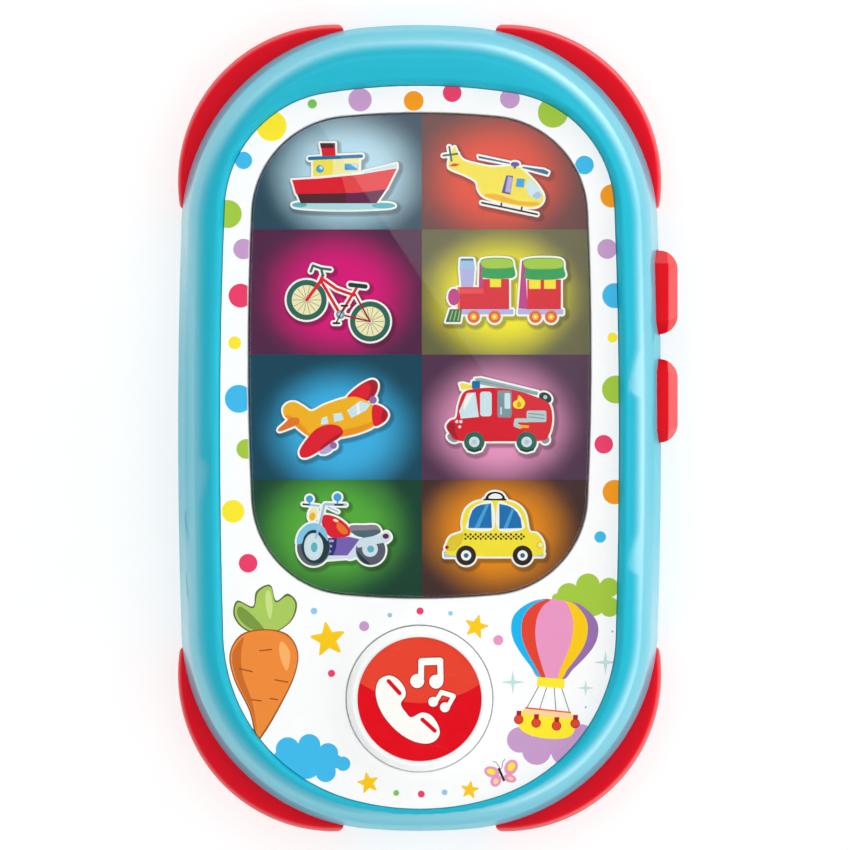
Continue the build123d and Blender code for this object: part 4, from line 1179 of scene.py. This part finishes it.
def motorbike():
    return [
        (
            "chrome",
            bar(1.1, (-15.9, -22.1), (-9.4, -21.6)) + soft(
                (-11.1, -19.6), (-7.0, -18.4), (-5.6, -17.8), (-4.9, -18.9), (-6.2, -19.9),
                (-9.6, -20.3), (-11.0, -22.2), (-12.4, -22.3)
            )
        ),
        ("tyre_grey", disc(-8.4, -21.0, 2.55)),
        ("tyre_dark", soft((-10.9, -21.0), (-9.9, -22.9), (-8.4, -23.5), (-10.0, -21.9))),
        (
            "chrome", disc(-8.5, -20.8, 1.35)
            + shape((-11.3, -19.2), (-5.9, -18.2), (-5.7, -19.6), (-10.6, -20.6))
        ),
        ("sea", disc(-8.4, -20.8, 0.6)),
        ("plum", oval(-5.8, -18.6, 0.55, 0.45)),
        ("seat", soft(
            (-11.9, -16.8), (-9.5, -16.7), (-7.5, -16.7), (-6.7, -17.6), (-7.2, -18.2),
            (-10.0, -18.0), (-11.8, -18.0)
        )),
        ("seat_dark", soft(
            (-11.6, -17.7), (-9.5, -17.6), (-6.9, -17.5), (-7.0, -18.2), (-9.2, -18.8),
            (-10.9, -18.5)
        )),
        ("engine", shape(
            (-15.6, -18.9), (-12.0, -18.7), (-10.3, -19.1), (-11.4, -20.6), (-12.4, -21.9),
            (-16.0, -21.9), (-15.8, -20.4)
        )),
        ("navy", shape(
            (-15.7, -18.9), (-14.2, -18.9), (-14.3, -20.4), (-14.8, -21.9), (-16.2, -21.9)
        )),
        ("lilac", bars(
            0.42, ((-15.4, -19.4), (-14.9, -19.4)), ((-15.7, -20.3), (-15.2, -20.3)),
            ((-15.8, -21.2), (-15.4, -21.2))
        )),
        ("red", soft(
            (-16.5, -15.0), (-14.4, -15.3), (-12.5, -16.6), (-11.9, -17.9), (-12.3, -18.6),
            (-14.1, -18.9), (-15.5, -18.6), (-16.7, -16.9)
        )),
        ("wheel_orange", soft(
            (-14.0, -16.2), (-12.8, -17.0), (-12.3, -18.0), (-13.2, -18.2), (-14.2, -17.2)
        )),
        ("cream", oval(-14.4, -15.9, 0.5, 0.22, -20)),
        ("tyre_grey", oval(-18.2, -20.5, 2.85, 3.2)),
        ("tyre_dark", oval(-17.9, -20.4, 2.4, 2.9)),
        ("fender", soft(
            (-21.1, -19.8), (-20.7, -18.0), (-19.3, -16.6), (-17.6, -16.4), (-16.2, -17.4),
            (-15.7, -19.4), (-16.3, -18.8), (-17.4, -17.7), (-18.8, -17.6), (-19.8, -18.6),
            (-20.2, -19.8)
        )),
        ("chrome", oval(-18.2, -20.4, 1.65, 2.35)),
        ("glass", oval(-18.2, -20.4, 1.25, 1.9)),
        ("sea", oval(-18.1, -20.5, 0.55, 0.85)),
        (
            "steel_blue",
            bars(
                0.42, ((-16.4, -13.3), (-17.0, -16.0), (-17.8, -18.8)),
                ((-16.2, -13.1), (-12.7, -13.2))
            )
            + bar(0.3, (-19.9, -13.1), (-17.3, -13.4)) + bar(0.22, (-15.7, -13.6), (-14.0, -14.4))
        ),
        (
            "tyre_dark",
            bar(0.34, (-14.5, -13.2), (-13.2, -13.2)) + bar(0.3, (-20.0, -13.1), (-18.9, -13.2))
        ),
        (
            "window_blue", disc(-18.9, -12.2, 0.62) + disc(-14.1, -11.9, 0.7)
            + bars(0.3, ((-18.9, -12.4), (-18.9, -13.1)), ((-14.1, -12.2), (-14.1, -13.0)))
        ),
        ("cream", oval(-18.3, -14.8, 0.75, 1.25, -14)),
        ("amber", oval(-18.4, -15.2, 0.5, 0.7, -14)),
    ]


def square(x, y, side):
    left, right, low, high = x - side / 2, x + side / 2, y - side / 2, y + side / 2
    return shape((left, low), (right, low), (right, high), (left, high))


def taxi():
    rings = (("tyre_black", 1), ("backing", 0.52), ("rotor", 0.24))
    side = 0.36
    first, pitch = 7.9, 0.87
    squares = []
    for column in range(12):
        x = first + pitch * column
        for dx, y in ((0.0, -18.3), (pitch / 2, -18.66), (0.0, -19.02)):
            squares += square(x + dx, y, side)
    return [
        ("steel_blue", box(4.2, -22.2, 6.6, -21.2) + box(18.9, -22.1, 21.3, -21.3)),
        ("taxi", soft(
            (7.3, -17.8), (7.3, -16.2), (7.9, -14.1), (9.5, -12.8), (11.8, -12.4), (14.3, -12.4),
            (16.7, -13.1), (18.1, -14.7), (18.8, -17.7), (20.2, -18.2), (21.2, -19.6),
            (21.3, -21.2), (20.6, -21.9), (13.0, -22.1), (5.3, -21.9), (4.5, -21.2), (4.6, -20.0),
            (5.4, -18.6),
        )),
        ("taxi_shade", soft(
            (5.4, -18.7), (4.7, -20.0), (4.7, -21.0), (6.2, -21.0), (7.4, -19.4), (7.4, -18.1)
        )),
        (
            "backing",
            soft(
                (8.2, -17.4), (8.3, -15.7), (8.9, -14.0), (10.3, -13.0), (12.5, -12.7),
                (12.65, -17.4)
            )
            + soft(
                (13.5, -12.8), (15.3, -13.1), (16.9, -14.1), (17.6, -15.5), (17.8, -17.4),
                (13.5, -17.5)
            )
        ),
        (
            "taxi_window",
            shape(
                (8.4, -17.2), (8.5, -15.75), (9.05, -14.2), (9.7, -13.55), (10.5, -13.2),
                (12.3, -12.95), (12.45, -17.2)
            )
            + shape(
                (13.7, -13.05), (15.2, -13.35), (16.1, -13.8), (16.8, -14.5), (17.4, -15.6),
                (17.6, -17.2), (13.7, -17.3)
            )
        ),
        (
            "taxi_glint", shape((9.4, -17.2), (11.4, -13.1), (12.0, -13.0), (10.2, -17.2))
            + shape((14.4, -17.3), (15.9, -13.7), (16.3, -13.95), (15.1, -17.25))
        ),
        ("black", squares),
        (
            "black", bar(0.3, (11.1, -12.3), (14.8, -12.3))
            + soft((11.5, -12.3), (11.8, -11.3), (13.0, -10.95), (14.2, -11.3), (14.5, -12.3))
        ),
        ("backing", soft(
            (11.95, -12.1), (12.2, -11.5), (13.0, -11.25), (13.9, -11.5), (14.1, -12.1)
        )),
        ("red_dark", disc(4.7, -20.5, 0.32)),
        ("taxi_shade", disc(20.7, -20.1, 0.62)),
        ("cabin_light", disc(20.75, -20.1, 0.44)),
        *wheels((8.0, 17.7), -21.9, 1.7, *rings),
    ]


# ---------------------------------------------------------------- the screen's lit cells

GRID_X = 0.4
GRID_YS = (34.1, 12.6, -8.9)
CELLS = {
    # name: (column, row, picture, the painted glow's colour in the middle and at the edge, its
    # centre)
    "ship": (0, 0, ship, "#c3e7f7", "#244a5e", (-12.5, 43.4)),
    "helicopter": (1, 0, helicopter, "#ee4a2b", "#6f3a38", (13.4, 43.0)),
    "bicycle": (0, 1, bicycle, "#e4007f", "#55204a", (-14.0, 22.8)),
    "train": (1, 1, train, "#fff20f", "#6e6b45", (14.0, 22.6)),
    "plane": (0, 2, plane, "#3cb9ee", "#00475e", (-13.6, -0.4)),
    "fire_engine": (1, 2, fire_engine, "#f49fca", "#553250", (13.9, 0.8)),
    "motorbike": (0, 3, motorbike, "#58b53a", "#06432f", (-14.8, -17.6)),
    "taxi": (1, 3, taxi, "#f39200", "#452a26", (13.4, -17.9)),
}
GLOW_REACH = (14.6, 12.4)
# Darkening of the glow: SOFT_SHADOW and DEEP_SHADOW for the printed drop shadows, RIM_SHADE for
# painted shade in a thin rim round the film's outer edge
SOFT_SHADOW, DEEP_SHADOW, RIM_SHADE = 0.72, 0.5, 0.35
RIM_WIDTH = 0.22
FILM_LIFT, FILM_THICKNESS = -0.02, 0.2
SCREEN_REACH = 60.0


def glow(name, middle, edge, centre, shadow=1.0):
    """Film over a lit cell, with the LEDs' light painted into its colour: bright at the middle, dark
    towards the cell's walls.
    """
    look = Look(name, Specular_IOR_Level=0.15)
    away = look.vector_maths("SUBTRACT", look.place, (centre[0] * MM, centre[1] * MM, 0))[0]
    per_reach = (1 / (GLOW_REACH[0] * MM), 1 / (GLOW_REACH[1] * MM), 0)
    shares = look.vector_maths("MULTIPLY", away, per_reach)[0]
    distance = look.vector_maths("LENGTH", shares)["Value"]
    uneven = look.ranged(look.noise(7, 2), -0.05, 0.05)
    reach = look.maths("ADD", distance, uneven)
    # Painted light: the LEDs' pool of light, falling off from the middle towards the edge
    fall = look.ranged(reach, 0, 1, 0.36, 1.06, smooth=True)
    tone = look.mixed(fall, scaled(rgb(middle), shadow), scaled(rgb(edge), shadow))
    fine = look.ranged(look.cells(SCREEN_DOT), 0, 0.06, 0.2, 0.5)
    look.colour(look.mixed(fine, tone, [0.02] * 3))
    look.rough(look.noise(1.5, 4), 0.28, 0.4)
    look.bump(look.noise(0.3, 2), 0.0015)
    return look.material


def screen_cell(name):
    column, row, picture, middle, edge, centre = CELLS[name]
    inks = dict(INKS)
    inks["cell"] = glow("cell_" + name, middle, edge, centre)
    inks["shadow_soft"] = glow("cell_shade_" + name, middle, edge, centre, SOFT_SHADOW)
    inks["shadow_deep"] = glow("cell_shadow_" + name, middle, edge, centre, DEEP_SHADOW)
    # The rim material is painted shade: the edge colour darkened where the screen's recess would
    # shade the film
    inks["rim"] = glow("cell_rim_shade_" + name, edge, edge, centre, RIM_SHADE)
    x0, x1 = ((-SCREEN_REACH, GRID_X), (GRID_X, SCREEN_REACH))[column]
    ys = (SCREEN_REACH, *GRID_YS, -SCREEN_REACH)
    window = np.array([(x0, ys[row + 1]), (x1, ys[row + 1]), (x1, ys[row]), (x0, ys[row])])
    outer = counterclockwise(rims("screen_film")[0])
    # The rim is painted shade along the film's outer edge; the cell inside it carries the painted
    # light of the glow
    layers = [("rim", []), ("cell", [grown(outer, -RIM_WIDTH)]), *sticker(picture())]
    piece = sheet("film_" + name, "screen_film", layers, inks, FILM_LIFT, FILM_THICKNESS, window)
    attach(piece, "casing")
    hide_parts("screen_film")


# ---------------------------------------------------------------- the call button's disc

# Dark line round the white pictures, in mm
LINE_WIDTH = 0.16


def call_art():
    """Handset and two pairs of notes, white on red, under a curved lighter upper half that is a
    painted highlight, as on a glossy dome.
    """
    handset = soft(
        (-7.5, -45.0), (-6.9, -43.1), (-5.3, -42.35), (-3.8, -42.9), (-2.6, -44.4), (-2.4, -45.8),
        (-3.2, -47.2), (-2.4, -48.6), (-1.4, -49.5), (0.4, -48.7), (2.0, -49.2), (3.2, -50.9),
        (3.4, -52.5), (2.4, -53.7), (0.7, -54.0), (-1.5, -53.4), (-3.8, -51.9), (-5.9, -49.6),
        (-7.1, -47.3),
    )
    large = disc(-0.4, -43.3, 1.2) + disc(2.85, -43.4, 1.2)
    large += bars(1.0, ((0.25, -43.2), (0.3, -39.9)), ((3.6, -43.2), (3.55, -39.9)))
    large += bar(1.25, (0.4, -40.0), (3.45, -39.9))
    small = disc(2.35, -46.85, 0.85) + disc(4.35, -47.8, 0.85)
    small += bars(0.75, ((2.9, -46.6), (3.75, -45.2)), ((4.9, -47.6), (5.85, -45.9)))
    small += bar(0.85, (3.8, -45.25), (5.75, -45.85))
    white = handset + large + small
    slots = bars(0.7, ((-5.3, -43.3), (-3.4, -45.4)), ((0.5, -49.9), (2.6, -51.8)))
    # Upper half in lighter red: a painted highlight standing in for a glossy dome's reflection
    upper = [np.array(
        [
            (-12, -30), (-12, -42.5), (-10.2, -43.7), (-7.6, -45.1), (-4.8, -46.3), (-2.4, -46.9),
            (0.2, -47.1), (2.8, -46.9), (5.4, -46.2), (8.0, -45.2), (10.6, -43.7), (12, -42.5),
            (12, -30)
        ],
        float
    )]
    return [
        ("disc_red", []),
        ("disc_highlight", upper),
        ("disc_line", [grown(counterclockwise(loop), LINE_WIDTH) for loop in white]),
        ("backing", white),
        ("disc_red", slots),
    ]


def call_disc():
    inks = dict(INKS)
    # The lighter red ink is the painted highlight of the disc's upper half
    codes = {"disc_red": "#e3051a", "disc_highlight": "#e8432e", "disc_line": "#a80a1c"}
    inks.update({name: ink(name, code, (0.2, 0.28)) for name, code in codes.items()})
    piece = sheet("call_disc", "call_button_label", call_art(), inks, lift=0.0, thickness=0.25)
    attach(piece, "call_button")
    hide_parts("call_button_label")


# Return domes: the joint that presses each, the axis it flattens along, and its button's travel
DOMES = {
    "call_button_dome": ("call_button_press", Vector((0, 0, 1)), 1.3 * MM),
    "side_key_dome_upper": ("upper_side_button_press", Vector((1, 0, 0)), 1.0 * MM),
    "side_key_dome_lower": ("lower_side_button_press", Vector((1, 0, 0)), 1.0 * MM),
}


def return_dome(node):
    """Rubber return dome, a piece of its own in place of the CAD node."""
    dome = linked("return_" + node, nodes[node].data.copy())
    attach(dome, "casing")
    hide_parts(node)
    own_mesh(dome)


# ---------------------------------------------------------------- outer surface of the front half

# Outline of the casing in mm: four arcs of a side, an end and a corner in each quarter
HALF_WIDTH, HALF_LENGTH = 41.95, 70.0
SIDE_RADIUS, END_RADIUS, CORNER_RADIUS = 1066.0, 103.0, 35.3
# Its wall rises inward from the parting line to a rounded front edge
PARTING_Z, FRONT_Z = 14.0, 25.8
WALL_DRAFT, EDGE_RADIUS = radians(12), 7.0
SURFACE_MARGIN = 0.06
RIDGE_Z = 25.45
# A direction is used on a face that looks nearly the same way
SAME_WAY = 0.75

SIDE_CENTRE = Vector((HALF_WIDTH - SIDE_RADIUS, 0))
END_CENTRE = Vector((0, HALF_LENGTH - END_RADIUS))
CORNER_CENTRE = max(
    intersect_sphere_sphere_2d(
        SIDE_CENTRE, SIDE_RADIUS - CORNER_RADIUS, END_CENTRE, END_RADIUS - CORNER_RADIUS
    ),
    key=lambda point: point.y,
)


def outline_at(x, y):
    """Outward direction of the casing's outline at a point, and the point's depth inside it."""
    point = Vector((abs(x), abs(y)))
    away = point - CORNER_CENTRE
    if (CORNER_CENTRE - SIDE_CENTRE).cross(away) < 0:
        centre, radius = SIDE_CENTRE, SIDE_RADIUS
    elif away.cross(CORNER_CENTRE - END_CENTRE) < 0:
        centre, radius = END_CENTRE, END_RADIUS
    else:
        centre, radius = CORNER_CENTRE, CORNER_RADIUS
    outward = (point - centre).normalized()
    depth = radius - (point - centre).length
    return Vector((copysign(outward.x, x), copysign(outward.y, y))), depth


def shell_direction(place):
    """Direction that the outer surface faces at a place on it in mm, or None off the surface."""
    outward, depth = outline_at(place.x, place.y)
    edge_z = FRONT_Z - EDGE_RADIUS
    tangent_z = edge_z + EDGE_RADIUS * sin(WALL_DRAFT)
    if not PARTING_Z - SURFACE_MARGIN < place.z < RIDGE_Z:
        return None
    if place.z <= tangent_z:
        rise = sin(WALL_DRAFT)
        expected = (place.z - PARTING_Z) * tan(WALL_DRAFT)
    else:
        rise = (place.z - edge_z) / EDGE_RADIUS
        centre_depth = (tangent_z - PARTING_Z) * tan(WALL_DRAFT) + EDGE_RADIUS * cos(WALL_DRAFT)
        expected = centre_depth - EDGE_RADIUS * sqrt(1 - rise * rise)
    if abs(depth - expected) > SURFACE_MARGIN:
        return None
    level = sqrt(1 - rise * rise)
    return Vector((outward.x * level, outward.y * level, rise))


def smooth_shell():
    """Front half of the casing again, shaded by the true directions of its outer surface."""
    source = nodes["front_housing"]
    mesh = source.data.copy()
    directions = [corner.vector.copy() for corner in mesh.corner_normals]
    for face in mesh.polygons:
        for index in face.loop_indices:
            true = shell_direction(mesh.vertices[mesh.loops[index].vertex_index].co / MM)
            if true is not None and true.dot(face.normal) > SAME_WAY:
                directions[index] = true
                face.use_smooth = True
    mesh.normals_split_custom_set(directions)
    shell = linked("front_shell", mesh)
    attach(shell, "casing")
    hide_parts("front_housing")


# ---------------------------------------------------------------- put together


def finish_nodes():
    """Each CAD node that stays gets its material."""
    for name, node in nodes.items():
        look = MATERIALS.get(LOOK_OF_NODE.get(name, name))
        if look is not None:
            node.data.materials.clear()
            node.data.materials.append(look.material)


finish_nodes()
smooth_shell()
label = sheet("panel_sheet", "face_label", panel_art(), INKS, lift=0.0, thickness=0.1)
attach(label, "casing")
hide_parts("face_label")
for cell_name in CELLS:
    screen_cell(cell_name)
call_disc()
for dome_name in DOMES:
    return_dome(dome_name)


# ---------------------------------------------------------------- camera, floor and light

# The room and the view are in metres, the lens and its sensor in mm
FRAME_WIDTH = 0.14583
VIEW_CENTRE = Vector((0.00094, 0.00051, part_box("face_plate")[1].z))
LENS, SENSOR = 200.0, 36.0
FLOOR_SIZE = 8.0
FLOOR_DROP = 0.2 * MM
FLOOR_GLOW = 1.75


def camera():
    data = bpy.data.cameras.new("camera")
    data.lens = LENS
    data.sensor_width = SENSOR
    data.clip_start = 0.01
    eye = linked("camera", data)
    eye.location = VIEW_CENTRE + Vector((0, 0, FRAME_WIDTH * LENS / SENSOR))
    scene.camera = eye


def flat_card(name, width, height, location):
    """Level rectangle facing up or down, for the floor and for a light card."""
    x, y = width / 2, height / 2
    mesh = bpy.data.meshes.new(name)
    mesh.from_pydata([(-x, -y, 0), (x, -y, 0), (x, y, 0), (-x, y, 0)], [], [(0, 1, 2, 3)])
    card = linked(name, mesh)
    card.location = location
    return card


def floor():
    """Pale floor just under the part, clear when seen from below."""
    look = Look("pale_floor", Roughness=0.7, Emission_Strength=FLOOR_GLOW)
    tone = look.mixed(look.noise(60, 3), [0.36] * 3, [0.38] * 3)
    look.colour(tone)
    look.rough(look.noise(10, 4), 0.6, 0.75)
    look.join(tone, look.shader.inputs["Emission Color"])
    below = look.add("NewGeometry").outputs["Backfacing"]
    clear = look.add("BsdfTransparent").outputs[0]
    one_sided = look.fed(look.add("MixShader"), (below, look.shader.outputs[0], clear))[0]
    look.join(one_sided, look.output.inputs["Surface"])
    card = flat_card("floor", FLOOR_SIZE, FLOOR_SIZE, (0, 0, -FLOOR_DROP))
    card.data.materials.append(look.material)


def gloss_card():
    """Soft card above the camera whose slanting edge shows in the window, fading along it."""
    look = Look("gloss_card")
    fade = look.ranged(look.axes()["Y"], 0.0, 1.6, -0.16, 0.06, smooth=True)
    glowing = look.add("Emission")
    look.join(fade, glowing.inputs["Strength"])
    look.join(glowing.outputs[0], look.output.inputs["Surface"])
    look.tree.nodes.remove(look.shader)
    edge_point = Vector((-0.008, 0.065, 0))
    along = Vector((0.554, -0.833, 0))
    right = Vector((0.833, 0.554, 0))
    width, length, height = 0.26, 0.3, 0.9
    centre = edge_point + right * width / 2
    place = (centre.x, centre.y, VIEW_CENTRE.z + height)
    card = flat_card("gloss_card", width, length, place)
    card.rotation_euler = (0, 0, atan2(-along.y, -along.x) - pi / 2)
    card.data.materials.append(look.material)
    card.visible_camera = False


# (height of the direction, level) for the light near the horizon and for the light overhead
LOW_LIGHT = ((0.0, 1.0), (0.17, 1.0), (0.34, 0.6), (0.5, 0.25), (0.62, 0.0))
HIGH_LIGHT = ((0.76, 0.0), (0.82, 1.0), (0.96, 1.0), (0.985, 0.0))
HIGH_RADIANCE = 2.0
AMBIENT = 0.12


def light_band(studio, height, stops):
    """Level of a band of light by the height of the direction."""
    ramp = studio.add("ValToRGB")
    while len(ramp.color_ramp.elements) < len(stops):
        ramp.color_ramp.elements.new(0.5)
    for element, (position, level) in zip(ramp.color_ramp.elements, stops):
        element.position = position
        element.color = (level, level, level, 1)
    return studio.fed(ramp, [height])[0]


def world():
    """White studio: bright near the horizon on the right, dim on the left, soft light overhead."""
    room = bpy.data.worlds.new("studio")
    room.use_nodes = True
    scene.world = room
    studio = Nodes(room.node_tree, "Generated")
    x, y, z = studio.axes()
    from_right = studio.ranged(x, 0.55, 2.3, -0.2, 0.6, smooth=True)
    from_top = studio.ranged(y, 0.0, 0.8, 0.2, 0.8, smooth=True)
    sides = studio.maths("ADD", from_right, from_top)
    low = studio.maths("MULTIPLY", sides, light_band(studio, z, LOW_LIGHT))
    high = studio.maths("MULTIPLY", light_band(studio, z, HIGH_LIGHT), HIGH_RADIANCE)
    total = studio.maths("ADD", studio.maths("ADD", low, high), AMBIENT)
    background = studio.tree.nodes["Background"]
    studio.join(total, background.inputs["Strength"])
    background.inputs["Color"].default_value = (1, 1, 1, 1)


camera()
floor()
gloss_card()
world()
